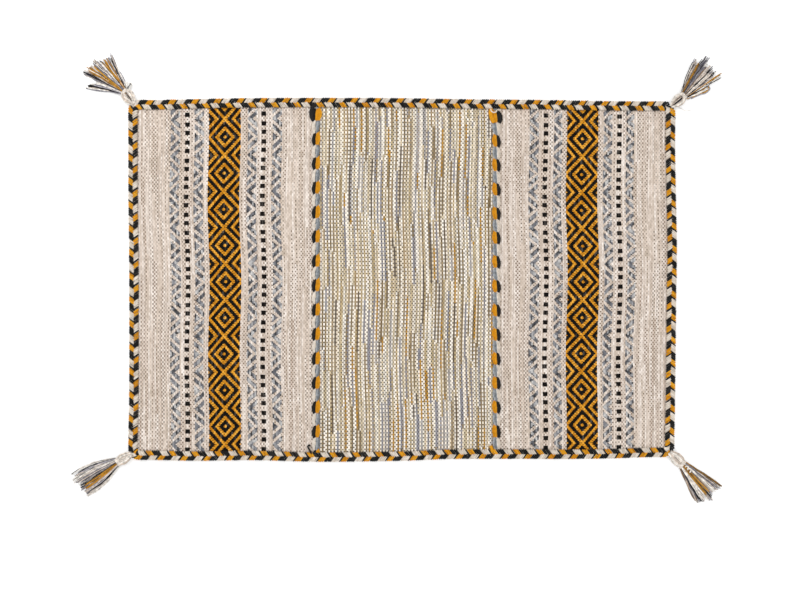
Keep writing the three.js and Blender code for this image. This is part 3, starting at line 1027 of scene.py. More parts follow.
        # Beaten cotton weft is close to dead matt: only a trace of sheen comes off its fibres.
        shader = add_node(tree, "ShaderNodeBsdfPrincipled", {
            "Base Color": colour, "Roughness": 0.95, "Normal": bump, "IOR": 1.54,
            "Specular IOR Level": 0.15, "Sheen Weight": 0.04, "Sheen Roughness": 0.5,
        })
        add_node(tree, "ShaderNodeOutputMaterial", {"Surface": shader})
        return material

    def cream(self, tree: bpy.types.NodeTree, at: Places) -> bpy.types.NodeSocket:
        """Mixes undyed cream that varies from yarn to yarn and bead to bead.

        Args:
            tree: The material's node tree.
            at: The point's place in the weave.

        Returns:
            The beads' colour.
        """
        mixed = add_node(tree, MATH, (at.chance, BEAD_SHARE), operation="MULTIPLY")
        mixed = add_node(tree, MATH, (at.yarn, 1 - BEAD_SHARE, mixed), operation="MULTIPLY_ADD")
        return add_ramp(tree, mixed, CREAM_SHADES, False)

    def striated(self, tree: bpy.types.NodeTree, at: Places) -> bpy.types.NodeSocket:
        """Weaves white or cream picks by turns with grey, mustard or brown ones.

        Args:
            tree: The material's node tree.
            at: The point's place in the weave.

        Returns:
            The cloth's colour.
        """
        second = add_node(tree, MATH, (at.number, 2.0), operation="MODULO")
        shares = add_node(tree, MATH, (at.number, ORDERED_PICKS), operation="DIVIDE")
        group = add_node(tree, MATH, (shares,), operation="FLOOR")
        # The two change places here and there, so that no regular stripes come about.
        stretch = self.length_at(tree, group, at.row)
        order = self.chance_at(tree, group, stretch, Chance.ORDER)
        swapped = add_node(tree, MATH, (order, 0.5), operation="LESS_THAN")
        dark = add_node(tree, MATH, (second, swapped, 0.1), operation="COMPARE")
        light = add_ramp(tree, at.yarn, STRIATED_LIGHT, True)
        deep = add_ramp(tree, at.yarn, STRIATED_DARK, True)
        colour = add_node(tree, MIX, {SHARE: dark, PLAIN: light, OVER: deep}, **COLOURS)
        # The thinner dark yarns dive deeper than the plump light ones, so their hollows are painted
        # darker.
        share = add_node(tree, RANGE, (dark, 0.0, 1.0, *ORDER_HOLLOWS))
        return self.hollow_shade(tree, at, colour, share)

    def hollow_shade(self, tree: bpy.types.NodeTree, at: Places, plain: bpy.types.NodeSocket,
                share: bpy.types.NodeSocket | float) -> bpy.types.NodeSocket:
        """Paints shade into the small hollows where the weft dives under the warp, and into the
        open grooves.

        Args:
            tree: The material's node tree.
            at: The point's place in the weave.
            plain: Colour of the beads.
            share: How strong the painted hollow shade is.

        Returns:
            The colour with its painted shade.
        """
        cloth = self.cloth
        # Painted shade in the hollows where the weft dives under the warp
        dark = add_ramp(tree, at.seam, cloth.hollow_shade, cloth.stepped)
        dive = add_node(tree, RANGE, (at.crest, *DIVE, 0.0, 1.0))
        middle = add_node(tree, RANGE, (at.aside, *HOLLOW_SIDES, 1.0, cloth.hollow_edge))
        depth = add_node(tree, RANGE, (at.hollow, *cloth.hollow_depths))
        depth = add_node(tree, MATH, (depth, share), operation="MULTIPLY")
        hollow = add_node(tree, MATH, (dive, middle), operation="MULTIPLY")
        hollow = add_node(tree, MATH, (hollow, depth), operation="MULTIPLY")
        colour = add_node(tree, MIX, {SHARE: hollow, PLAIN: plain, OVER: dark}, **COLOURS)
        # Painted shade in the open grooves between picks
        line = add_node(tree, RANGE, (at.aside, *GROOVE_SIDES, 0.0, 1.0))
        openness = add_node(tree, RANGE, (at.seam, *cloth.groove_depths))
        line = add_node(tree, MATH, (line, openness), operation="MULTIPLY")
        return add_node(tree, MIX, {SHARE: line, PLAIN: colour, OVER: linear(cloth.groove)},
                        **COLOURS)

    def pattern(self, tree: bpy.types.NodeTree, at: Places,
                plain: bpy.types.NodeSocket) -> bpy.types.NodeSocket:
        """Weaves the zigzags, dots and diamonds into the plain cloth.

        Args:
            tree: The material's node tree.
            at: The point's place in the weave.
            plain: Colour of the plain cloth.

        Returns:
            The patterned colour.
        """
        middle = add_node(tree, MATH, (at.number, 0.5), operation="ADD")
        shift = add_node(tree, MATH, (at.row, FIRST_DIAMOND), operation="SUBTRACT")
        height = add_node(tree, MATH, (shift, HALF_REPEAT), operation="PINGPONG")
        soft = add_node(tree, MATH, (middle, at.pick), operation="ADD")
        soft = add_node(tree, MATH, (soft, 0.5), operation="MULTIPLY")
        black = add_ramp(tree, at.chance, BLACK_SHADES, False)
        colour = self.zigzags(tree, at, soft, height, plain)
        # Dots: pairs of black beads beside each diamond's tips
        for x in self.bands.dots:
            column = add_node(tree, MATH, (middle, self.picks(x), DOT_HALF / self.pitch),
                              operation="COMPARE")
            for centre in DOT_ROWS:
                dot = add_node(tree, MATH, (height, centre, DOT_HEIGHT), operation="COMPARE")
                dot = add_node(tree, MATH, (dot, column), operation="MULTIPLY")
                colour = add_node(tree, MIX, {SHARE: dot, PLAIN: colour, OVER: black}, **COLOURS)
        return self.diamonds(tree, at, soft, height, colour, black)

    def zigzags(self, tree: bpy.types.NodeTree, at: Places, across: bpy.types.NodeSocket,
                height: bpy.types.NodeSocket, plain: bpy.types.NodeSocket) -> bpy.types.NodeSocket:
        """Weaves slanting grey stripes that mirror at each row of diamonds.

        Args:
            tree: The material's node tree.
            at: The point's place in the weave.
            across: Count of picks, half of it in whole picks.
            height: Crossings from the nearest diamond's middle.
            plain: Colour of the cloth around them.

        Returns:
            The colour with its zigzags.
        """
        inside_all, local_all = 0.0, 0.0
        half = self.bands.zigzag_width / self.pitch / 2
        for left in self.bands.zigzags:
            local = add_node(tree, MATH, (across, self.picks(left)), operation="SUBTRACT")
            inside = add_node(tree, MATH, (local, half, half), operation="COMPARE")
            inside_all = add_node(tree, MATH, (inside, inside_all), operation="ADD")
            local_all = add_node(tree, MATH, (local, inside, local_all), operation="MULTIPLY_ADD")
        climb = add_node(tree, MATH, (local_all, -ZIGZAG_SLOPE * self.pitch, ZIGZAG_START),
                         operation="MULTIPLY_ADD")
        slanted = add_node(tree, MATH, (climb, height), operation="SUBTRACT")
        stripe = add_node(tree, MATH, (slanted, ZIGZAG_PERIOD / 2), operation="PINGPONG")
        uneven = add_node(tree, RANGE, (at.chance, 0.0, 1.0, *ZIGZAG_HALF))
        grey = add_node(tree, MATH, (stripe, uneven), operation="LESS_THAN")
        grey = add_node(tree, MATH, (grey, inside_all), operation="MULTIPLY")
        marl = add_ramp(tree, at.chance, MARLED_SHADES, False)
        rim = add_node(tree, RANGE, (stripe, *ZIGZAG_RIM, 0.0, RIM_SHADE))
        marl = add_node(tree, MIX, {SHARE: rim, PLAIN: marl, OVER: linear(MARLED_RIM)}, **COLOURS)
        return add_node(tree, MIX, {SHARE: grey, PLAIN: plain, OVER: marl}, **COLOURS)

    def diamonds(self, tree: bpy.types.NodeTree, at: Places, across: bpy.types.NodeSocket,
                 height: bpy.types.NodeSocket, plain: bpy.types.NodeSocket,
                 black: bpy.types.NodeSocket) -> bpy.types.NodeSocket:
        """Weaves mustard and black by turns, stepping outwards from each diamond's middle.

        Args:
            tree: The material's node tree.
            at: The point's place in the weave.
            across: Count of picks, half of it in whole picks.
            height: Crossings from the nearest diamond's middle.
            plain: Colour of the cloth around them.
            black: Colour of the black weft.

        Returns:
            The colour with its diamonds.
        """
        offset = add_node(tree, MATH, (across, self.picks(self.bands.diamonds)),
                          operation="SUBTRACT")
        offset = add_node(tree, MATH, (offset,), operation="ABSOLUTE")
        reach = add_node(tree, MATH, (offset, self.pitch / DIAMOND_STEP, height),
                         operation="MULTIPLY_ADD")
        ring = add_node(tree, MATH, (reach, DIAMOND_RING), operation="PINGPONG")
        mustard = add_node(tree, MATH, (ring, DIAMOND_LINE), operation="LESS_THAN")
        gold = add_ramp(tree, at.chance, MUSTARD_SHADES, False)
        # Painted shade where the mustard weft dives under the warp
        dive = add_node(tree, RANGE, (at.crest, *DIAMOND_DIVE, 0.0, DIAMOND_SHADE))
        gold = add_node(tree, MIX, {SHARE: dive, PLAIN: gold, OVER: linear(DIAMOND_HOLLOW_SHADE)},
                        **COLOURS)
        diamond = add_node(tree, MIX, {SHARE: mustard, PLAIN: black, OVER: gold}, **COLOURS)
        within = add_node(tree, MATH, (offset, self.bands.diamond_half / self.pitch),
                          operation="LESS_THAN")
        return add_node(tree, MIX, {SHARE: within, PLAIN: plain, OVER: diamond}, **COLOURS)


# Woven panels

# How far a panel's corner may stand out over its bend, in mm
CORNER_SPARE = 2
# Distance that stands for a side with no plait over it, in mm
OPEN_SIDE = 99.0
# Angle, in degrees, over which an edge of the cloth stays sharp
SHARP_EDGE = 80
LATTICE_NAME = "lattice"


@dataclass
class WovenPanel:
    """One length of cloth, with the relief of its weave.

    Attributes:
        name: The piece's name.
        node: The CAD node that it stands for.
        slot: The record's material slot; not used.
        left: X of its left edge, in mm, or None where it ends under the left plait.
        right: X of its right edge, in mm, or None where it ends under the right plait.
        bands: Its pattern, if it has one.
        crest_height: How far a bead stands over the middle of the relief, in mm.
        groove_depth: How far the grooves between picks lie under it.
        bead_jitter: How much one bead differs in height from the next.
        bow_mean: How far the picks lie to the right of a straight line on average, in mm.
        bow: How far they wave about that.
        bow_crest: Y of a crest of this wave.
        bow_length: Length of the wave.
        bow_fade: It fades out over one part in so many, from each side edge inwards.
        thin_under_plait: How much thinner the cloth is under the plait.
        flat_under_plait: Share of the relief that is pressed flat there.
        cover: Distances from its edge between which the plait's pressure ends.
    """

    name: str
    node: str
    slot: str
    left: float | None
    right: float | None
    bands: Bands | None
    crest_height: float = 0.9
    groove_depth: float = 0.5
    bead_jitter: float = 0.1
    bow_mean: float = 1.7
    bow: float = 2.3
    bow_crest: float = 422
    bow_length: float = 426
    bow_fade: float = 8
    thin_under_plait: float = 2.0
    flat_under_plait: float = 0.6
    cover: tuple[float, float] = (2, 14)

    def edges_x(self, y: np.ndarray) -> tuple[np.ndarray, np.ndarray]:
        """Finds the side edges.

        Args:
            y: Places along them.

        Returns:
            X of the left and right edges there.
        """
        left = LINE.cloth_edge(Side.LEFT, y) if self.left is None else np.full_like(y, self.left)
        right = (LINE.cloth_edge(Side.RIGHT, y) if self.right is None
                 else np.full_like(y, self.right))
        return left, right

    def build(self, rng: np.random.Generator) -> bpy.types.Object:
        """Weaves the panel.

        Args:
            rng: Source of the beads' unevenness.

        Returns:
            The panel.
        """
        low, high = (float(edge[0]) for edge in self.edges_x(np.zeros(1)))
        picks = round((high - low) / PICK_PITCH)
        pitch = (high - low) / picks
        columns, rows = 2 * picks, 2 * CROSSINGS
        bpy.ops.object.select_all(action="DESELECT")
        bpy.ops.mesh.primitive_grid_add(x_subdivisions=columns, y_subdivisions=rows, size=2)
        piece = bpy.context.active_object
        piece.name = piece.data.name = self.name
        mesh = piece.data
        flat = np.empty(3 * len(mesh.vertices))
        mesh.vertices.foreach_get("co", flat)
        grid = flat.reshape(-1, 3)
        pick = np.rint((grid[:, 0] + 1) / 2 * columns) / 2
        crossing = np.rint((grid[:, 1] + 1) / 2 * rows) / 2
        self.shape(mesh, pick, crossing, low + pick * pitch, rng)
        lattice = mesh.attributes.new(LATTICE_NAME, "FLOAT_VECTOR", "POINT")
        lattice.data.foreach_set("vector", np.stack((pick, crossing, 0 * pick), axis=1).ravel())
        self.close_underside()
        self.write_uv(mesh)
        cloth = CREAM_CLOTH if self.bands else STRIATED_CLOTH
        finish = WovenCotton(f"{self.name}_cotton", low, pitch, self.bands, cloth)
        mesh.materials.append(finish.build())
        settle(piece, (self.node,))
        back, front = (float(LINE.cloth_edge(side, np.array([(low + high) / 2]))[0])
                       for side in (Side.BACK, Side.FRONT))
        return piece

    def shape(self, mesh: bpy.types.Mesh, pick: np.ndarray, crossing: np.ndarray, x: np.ndarray,
              rng: np.random.Generator) -> None:
        """Moves the grid's points to the cloth's outline and relief.

        Args:
            mesh: The grid.
            pick: Each point's place across the picks.
            crossing: Each point's place along them.
            x: Its X in cloth with straight side edges.
            rng: Source of the beads' unevenness.
        """
        front = LINE.cloth_edge(Side.FRONT, x)
        back = LINE.cloth_edge(Side.BACK, x)
        y = front + crossing / CROSSINGS * (back - front)
        left, right = self.edges_x(y)
        share = pick / pick.max()
        wave = np.cos(2 * math.pi * (self.bow_crest - y) / self.bow_length)
        fade = np.minimum(1, self.bow_fade * np.minimum(share, 1 - share))
        x = left + share * (right - left) + (self.bow_mean + self.bow * wave) * fade
        for corner_x, corner_y in LINE.corners():
            self.round_corner(x, y, corner_x, corner_y)
        number = np.minimum(np.floor(pick), pick.max() - 1).astype(int)
        # A point lies on a groove, or half a pick from it on the crest of the pick's beads.
        on_crest = np.abs(pick - number - 0.5) < 0.25
        beads = np.floor((crossing + number) / 2 + 0.5).astype(int)
        jitter = rng.normal(0, self.bead_jitter, (number.max() + 2, beads.max() + 2))
        crest = self.crest_height * np.cos(math.pi * (crossing + number)) + jitter[number, beads]
        relief = np.where(on_crest, crest, -self.groove_depth)
        inwards = np.minimum.reduce([
            back - y, y - front,
            x - left if self.left is None else np.full_like(x, OPEN_SIDE),
            right - x if self.right is None else np.full_like(x, OPEN_SIDE),
        ])
        covered = 1 - smooth_step(*self.cover, inwards)
        top = CLOTH_THICK - self.crest_height - self.thin_under_plait * covered
        z = np.minimum(top + relief * (1 - self.flat_under_plait * covered), CLOTH_THICK)
        mesh.vertices.foreach_set("co", (np.stack((x, y, z), axis=1) * MM).ravel())

    @staticmethod
    def round_corner(x: np.ndarray, y: np.ndarray, corner_x: float, corner_y: float) -> None:
        """Draws points beyond a bend's middle in to the cloth's rounded corner.

        Args:
            x: X of the points, which it changes.
            y: Their Y, which it changes.
            corner_x: X of the bend's middle.
            corner_y: Its Y.
        """
        radius = CORNER_RADIUS - CLOTH_EDGE_INSET + CORNER_SPARE
        away_x, away_y = x - corner_x, y - corner_y
        beyond = (away_x * corner_x > 0) & (away_y * corner_y > 0)
        reach = np.maximum(np.abs(away_x), np.abs(away_y))
        distance = np.maximum(np.hypot(away_x, away_y), TINY)
        scale = np.where(beyond, np.minimum(reach, radius) / distance, 1)
        x[:] = corner_x + away_x * scale
        y[:] = corner_y + away_y * scale

    @staticmethod
    def close_underside() -> None:
        """Extrudes the border of the new grid down to the floor and fills it."""
        bpy.ops.object.mode_set(mode="EDIT")
        bpy.ops.mesh.select_mode(type="EDGE")
        bpy.ops.mesh.select_all(action="DESELECT")
        bpy.ops.mesh.select_non_manifold()
        down = {"value": (0, 0, -0.5 * CLOTH_THICK * MM)}
        bpy.ops.mesh.extrude_region_move(TRANSFORM_OT_translate=down)
        bpy.ops.transform.resize(value=(1, 1, 0), center_override=(0, 0, 0))
        bpy.ops.mesh.edge_face_add()
        bpy.ops.mesh.select_all(action="SELECT")
        bpy.ops.mesh.normals_make_consistent(inside=False)
        bpy.ops.object.mode_set(mode="OBJECT")
        bpy.ops.object.shade_smooth_by_angle(angle=math.radians(SHARP_EDGE))

    @staticmethod
    def write_uv(mesh: bpy.types.Mesh) -> None:
        """Writes the place in the weave of each face corner as its UV.

        Args:
            mesh: The cloth, whose points hold their places as an attribute.
        """
        places = np.empty(3 * len(mesh.vertices))
        mesh.attributes[LATTICE_NAME].data.foreach_get("vector", places)
        corners = np.empty(len(mesh.loops), dtype=int)
        mesh.loops.foreach_get("vertex_index", corners)
        while mesh.uv_layers:
            mesh.uv_layers.remove(mesh.uv_layers[0])
        layer = mesh.uv_layers.new(name=UV_NAME)
        layer.data.foreach_set("uv", places.reshape(-1, 3)[corners, :2].ravel())
        mesh.attributes.remove(mesh.attributes[LATTICE_NAME])


# Plaited edge

PLAIT_NODES = ("back_plait", "left_plait", "front_plait", "right_plait")


@dataclass(frozen=True)
class Strand:
    """One strand of the plait, as the yarns that show side by side in each of its lobes.

    Attributes:
        name: The piece's name.
        finish: Its finish.
        first: Place of its first yarn in a turn, in turns from the middle of the mustard lobe.
        yarns: How many yarns lie side by side.
        spread: Distance between them, in turns.
    """

    name: str
    finish: CottonYarn
    first: float
    yarns: int
    spread: float = 0.081


@dataclass
class EdgePlait:
    """Flat strands of yarn plaited all round the rug: an outer and an inner row of slanting lobes.

    Attributes:
        strands: Its strands.
        outer_path: An outer yarn's way up from underneath and in to the middle, (out, up) in mm.
        inner_path: An inner yarn's way out of the cloth and in to the middle.
        yarn_radius: Half a yarn's thickness, in mm.
        thickness: Least and greatest thickness, as shares of that.
        sides: Sides of a yarn.
        slant: How far ahead a yarn's end at the middle of the plait lies, in mm.
        slant_width: Width over which it slants so far.
        fold_slant: Slant of its part underneath, in mm for each mm across.
        crown: How much higher the middle of a lobe stands than its sides.
        crown_rise: Height at which this begins, and height over which it grows.
        tuck: How far a lobe's hind yarns lie over the other row, and its front ones under it.
        tuck_reach: Distance out at which this begins, and distance over which it grows.
        stray_along: How far a yarn strays along the plait, in turns.
        stray_out: How far it strays across it, in mm.
        stray_up: How far it strays up and down.
    """

    strands: tuple[Strand, ...] = (
        Strand("plait_mustard_strand", MUSTARD_YARN, -0.081, 3),
        Strand("plait_black_strand", BLACK_YARN, 0.176, 4),
        Strand("plait_cream_strand", CREAM_YARN, 0.515, 4),
        Strand("plait_black_side_yarn", BLACK_YARN, -0.18, 1),
    )
    outer_path: Points = ((4.5, 3.0), (9.0, 2.9), (11.2, 3.4), (11.7, 5.2), (11.0, 7.0), (8.6, 8.0),
                          (5.0, 8.1), (1.2, 7.3), (-2.2, 4.6))
    inner_path: Points = ((11.8, 4.9), (11.2, 6.9), (8.6, 8.0), (5.0, 8.1), (1.2, 7.3),
                          (-2.2, 4.6))
    yarn_radius: float = 2.25
    thickness: tuple[float, float] = (0.94, 1.04)
    sides: int = 7
    slant: float = 9.5
    slant_width: float = 13.0
    fold_slant: float = 0.5
    crown: float = 0.7
    crown_rise: tuple[float, float] = (3.0, 4.0)
    tuck: float = 1.1
    tuck_reach: tuple[float, float] = (3.0, 5.0)
    stray_along: float = 0.006
    stray_out: float = 0.25
    stray_up: float = 0.15

    def row(self, strand: Strand, inner: bool, rng: np.random.Generator) -> Tubes:
        """Lays one strand's yarns along one row of lobes.

        Args:
            strand: The strand.
            inner: True for the row that lies on the cloth, half a turn later.
            rng: Source of unevenness.

        Returns:
            The yarns.
        """
        path = np.array(self.inner_path if inner else self.outer_path)
        order = np.arange(strand.yarns)
        places = strand.first + order * strand.spread
        turn = (np.arange(ALL_TURNS)[:, None] + places[None]).ravel() + (0.5 if inner else 0.0)
        share = np.tile((2 * order - (strand.yarns - 1)) / max(strand.yarns, 2), ALL_TURNS)[:, None]
        count = len(turn)
        turn = turn + rng.normal(0, self.stray_along, count)
        out, up = path[None, :, 0], path[None, :, 1]
        inwards = path[:, 0].max() - out
        folded = np.arange(len(path))[None] < np.argmax(path[:, 0])
        ahead = np.where(folded, -self.slant * 0.5 - inwards * self.fold_slant,
                         self.slant * (inwards / self.slant_width - 0.5))
        run = LINE.run_at_turn(turn)[:, None] + ahead
        # The hind yarns of a lobe lie over the other row, the front ones tuck under it.
        start, width = self.tuck_reach
        out = out + self.tuck * share * np.clip((start - out) / width, 0, 1)
        strayed = (-out if inner else out) + rng.normal(0, self.stray_out, count)[:, None]
        x, y = LINE.place(run, strayed)
        start, width = self.crown_rise
        lift = self.crown * (1 - share ** 2) * np.clip((up - start) / width, 0, 1)
        z = up + lift + rng.normal(0, self.stray_up, count)[:, None]
        radius = self.yarn_radius * rng.uniform(*self.thickness, count)
        radii = np.broadcast_to(radius[:, None, None], (*x.shape, 2))
        return Tubes(np.stack((x, y, z), axis=2), radii, rng.uniform(0, 1, count), self.sides)

    def build(self, rng: np.random.Generator) -> list[bpy.types.Object]:
        """Plaits the strands.

        Args:
            rng: Source of unevenness.

        Returns:
            One piece for each strand.
        """
        made = []
        for strand in self.strands:
            parts = [self.row(strand, False, rng), self.row(strand, True, rng)]
            piece = yarn_piece(strand.name, parts, strand.finish.build())
            settle(piece, PLAIT_NODES)
            made.append(piece)
        return made


# Twined joins

@dataclass(frozen=True)
class TwinedStrand:
    """One of the four strands of a join.

    Attributes:
        colour: Its colour.
        finish: Its finish.
        side: How far its lobes lie from the join, towards the mustard strand's side, in mm.
        phase: Share of a turn by which it follows the mustard strand.
        swell: Half width of its lobes, in mm.
    """

    colour: Colour
    finish: CottonYarn
    side: float
    phase: float
    swell: float


@dataclass
class JoinCord:
    """A cord of two twined pairs of strands, over the join between two panels.

    Attributes:
        name: Start of its pieces' names.
        node: The CAD node that it stands for.
        x: X of the join.
        mirror: 1 if the mustard strand lies on the right of the join, -1 if on the left.
        first_lobe: Y of the middle of the first whole mustard lobe.
        period: Length of one turn of the twining.
        strays: Thick ends and loops of its strands.
        strands: Its strands.
        bundle: The yarns of a strand.
        samples: Rings of a strand in one turn.
        inset: How far its ends lie inside the cloth's edge.
        looser: How much wider its first turn is, as a share.
        loose_turns: Turns before the first whole lobe between which it turns loose.
        lean: How far a strand swings sideways as it comes up and goes down.
        bow: Power that shapes its way out to a lobe and back.
        swell_bow: Power that shapes how it swells there.
        low: Height of a strand's middle where it lies under the others.
        rise: How much higher it lies in a lobe.
        thin: Half its width and height where it lies under the others.
        plump: How much more its half height is in a lobe.
        stray_tone: Tone of the loose ends.
    """

    name: str
    node: str
    x: float
    mirror: int
    first_lobe: float
    period: float
    strays: tuple[Stray, ...]
    strands: tuple[TwinedStrand, ...] = (
        TwinedStrand(Colour.MUSTARD, MUSTARD_YARN, side=4.6, phase=0.0, swell=6.9),
        TwinedStrand(Colour.BLACK, BLACK_YARN, side=-6.6, phase=0.02, swell=5.6),
        TwinedStrand(Colour.GREY, GREY_YARN, side=3.2, phase=0.5, swell=6.8),
        TwinedStrand(Colour.CREAM, CREAM_YARN, side=-6.4, phase=0.5, swell=5.4),
    )
    bundle: FlatBundle = FlatBundle(count=4, sides=5)
    samples: int = 14
    inset: float = 8
    looser: float = 0.4
    loose_turns: tuple[float, float] = (0.5, 0.8)
    lean: float = 1.2
    bow: float = 0.8
    swell_bow: float = 1.1
    low: float = 2.6
    rise: float = 4.0
    thin: tuple[float, float] = (1.6, 1.4)
    plump: float = 2.1
    stray_tone: float = 0.6

    def course(self, strand: TwinedStrand) -> tuple[np.ndarray, np.ndarray, np.ndarray]:
        """Finds the course and size of one strand.

        Args:
            strand: The strand.

        Returns:
            Its path, half widths and half heights.
        """
        x = np.array([self.x])
        back = float(LINE.cloth_edge(Side.BACK, x)[0]) - self.inset
        front = float(LINE.cloth_edge(Side.FRONT, x)[0]) + self.inset
        y = np.linspace(back, front, round((back - front) / self.period * self.samples))
        angle = 2 * math.pi * ((self.first_lobe - y) / self.period - strand.phase)
        seen = (1 + np.cos(angle)) / 2
        # The first turn, where the cord comes out of the plait, is looser and so wider.
        turns = (y - self.first_lobe) / self.period
        loose = 1 + self.looser * smooth_step(*self.loose_turns, turns)
        across = self.mirror * (strand.side * seen**self.bow - self.lean * np.sin(angle)) * loose
        path = np.stack((self.x + across, y, self.low + self.rise * seen), axis=1)
        half_width, half_height = self.thin
        width = (half_width + (strand.swell - half_width) * seen**self.swell_bow) * loose
        return path, width, half_height + self.plump * seen

    def build(self, rng: np.random.Generator) -> list[bpy.types.Object]:
        """Twines the cord.

        Args:
            rng: Source of the yarns' unevenness.

        Returns:
            One piece for each strand.
        """
        made = []
        for strand in self.strands:
            parts = self.bundle.lay(*self.course(strand), rng)
            parts += [stray.tube(self.stray_tone) for stray in self.strays
                      if stray.colour is strand.colour]
            name = f"{self.name}_{strand.colour.name.lower()}"
            piece = yarn_piece(name, parts, strand.finish.build())
            settle(piece, (self.node,))
            made.append(piece)
        return made


JOINS = (
    JoinCord(
        name="left_join", node="left_seam_cord", x=JOIN_X["left"], mirror=1, first_lobe=391.8,
        period=67.8, strays=(
            Stray(Colour.BLACK, 5.2, 7.6,
                  ((-241, 488), (-249, 480), (-254, 468), (-253, 454), (-247, 441))),
            Stray(Colour.BLACK, 2.4, 9.5,
                  ((-252, -485), (-257, -474), (-263, -464), (-259, -459), (-255, -463))),
        )),
    JoinCord(
        name="right_join", node="right_seam_cord", x=JOIN_X["right"], mirror=-1, first_lobe=386.2,
        period=67.3, strays=(
            Stray(Colour.MUSTARD, 6.0, 7.6, ((248, 476), (245, 464), (248, 450), (255, 436))),
            Stray(Colour.CREAM, 1.8, 13.0,
                  ((245, 475), (247, 468), (254, 464), (261, 466), (263, 472))),
            Stray(Colour.MUSTARD, 4.6, 7.0, ((246, -461), (249, -470), (251, -481))),
        )),
)


# Tassels

HEAD_TONES = (0.05, 0.15, 0.15, 0.25, 0.25)
# Yarns between a head's folds: the black ones are painted shadow in the opening, the others real
# yarns
INNER_AND_SHADOW_TONES = (0.95, 0.25, 0.95, 0.35)
CREAM_TONE = 0.15
# Black core under the opening: painted shadow there
INNER_SHADOW_TONE = 0.95


@dataclass(frozen=True)
class Head:
    """The head of a tassel: its yarns, folded at the plait and bound at the neck.

    Sizes are in mm. Where one has two numbers, they are the size at the head's ends and what its
    bulge adds.

    Attributes:
        neck: X and Y of the neck.
        neck_half: Half the width of the neck.
        half_width: Half the head's greatest width.
        opening: Half the gap between its two folds.
        rings: Rings of its yarns.
        sides: Sides of its yarns.
        bow: Powers that shape its bulge.
        start: How far outside the bend of the plait it begins.
        overlap: How far it reaches past the neck.
        apart: How far its folds lie from its middle line at its ends.
        fold_width: Half a fold's width, as shares of that in its bulge.
        fold_height: Height of a fold's middle.
        fold_thick: Half its thickness.
        inner_height: Height of the middle of the yarns between the folds.
        inner_thick: Half their thickness.
        inner_spare: How far they reach under the folds.
        wraps: Turns of the binding.
        wrap_rings: Its rings.
        wrap_start: How far before its end the head is bound.
        wrap_width: Width of the binding.
        wrap_height: Height of its middle.
        wrap_rise: How far it rises and dips from there.
        wrap_radius: Half its yarn's thickness.
    """

    neck: tuple[float, float]
    neck_half: float
    half_width: float
    opening: float
    rings: int = 15
    sides: int = 6
    bow: tuple[float, float] = (1.3, 0.7)
    start: float = 6
    overlap: float = 3
    apart: float = 2.0
    fold_width: tuple[float, float] = (0.5, 0.5)
    fold_height: tuple[float, float] = (9.2, 2.2)
    fold_thick: tuple[float, float] = (3.6, 2.6)
    inner_height: tuple[float, float] = (6.5, 0.5)
    inner_thick: tuple[float, float] = (4.0, 1.0)
    inner_spare: float = 1.0
    wraps: int = 4
    wrap_rings: int = 60
    wrap_start: float = 6
    wrap_width: float = 9
    wrap_height: float = 9.0
    wrap_rise: float = 7.4
    wrap_radius: float = 1.3

    def fold(self, heading: np.ndarray, start: np.ndarray, whole: float, way: int,
             rng: np.random.Generator) -> list[Tubes]:
        """Lays one of the head's folds between the plait and the neck.

        Args:
            heading: Direction from the plait to the neck.
            start: Where the head leaves the plait.
            whole: Distance from there to the neck.
            way: 1 or -1 for the fold on one or the other side, 0 for the yarns between them.
            rng: Source of unevenness.

        Returns:
            The fold's yarns.
        """
        share = np.linspace(0, 1, self.rings)
        lengthwise, sideways = self.bow
        bulge = np.sin(math.pi * share**lengthwise) ** sideways
        fold_half = (self.half_width - self.opening) / 2
        side = np.array([-heading[1], heading[0]])
        across = way * (self.apart + (self.opening + fold_half - self.apart) * bulge)
        flat = start + (whole * share)[:, None] * heading + across[:, None] * side
        sizes = ((self.fold_height, self.fold_width, self.fold_thick) if way
                 else (self.inner_height, (1.0, 0.0), self.inner_thick))
        height, width, thick = (least + more * bulge for least, more in sizes)
        half_width = width * (fold_half if way else self.opening + self.inner_spare)
        # Between the folds, black yarns and a black core are painted shadow in the opening.
        tones, core_tone = (HEAD_TONES, CREAM_TONE) if way else (INNER_AND_SHADOW_TONES, INNER_SHADOW_TONE)
        bundle = FlatBundle(count=len(tones), sides=self.sides)
        yarns, core = bundle.lay(np.column_stack((flat, height)), half_width, thick, rng)
        yarns.tones = rng.permutation(tones) if way else np.array(tones)
        core.tones = np.array([core_tone])
        return [yarns, core]

    def yarns(self, rng: np.random.Generator) -> list[Tubes]:
        """Folds the head's yarns from the plait's corner to the neck and binds them.

        Args:
            rng: Source of unevenness.

        Returns:
            The head's yarns.
        """
        corner = next(middle for middle in LINE.corners()
                      if middle[0] * self.neck[0] > 0 and middle[1] * self.neck[1] > 0)
        away = np.array(self.neck) - corner
        heading = away / np.linalg.norm(away)
        start = corner + (CORNER_RADIUS + self.start) * heading
        whole = float(np.linalg.norm(np.array(self.neck) - start)) + self.overlap
        parts = []
        for way in (1, -1, 0):
            parts += self.fold(heading, start, whole, way, rng)
        side = np.array([-heading[1], heading[0]])
        share = np.linspace(0, 1, self.wrap_rings)
        turns = 2 * math.pi * self.wraps * share
        along = whole - self.wrap_start + self.wrap_width * share
        flat = start + along[:, None] * heading + (self.neck_half * np.cos(turns))[:, None] * side
        path = np.column_stack((flat, self.wrap_height + self.wrap_rise * np.sin(turns)))
        radii = np.full((1, self.wrap_rings, 2), self.wrap_radius)
        return [*parts, Tubes(path[None], radii, np.array([CREAM_TONE]), level=False)]


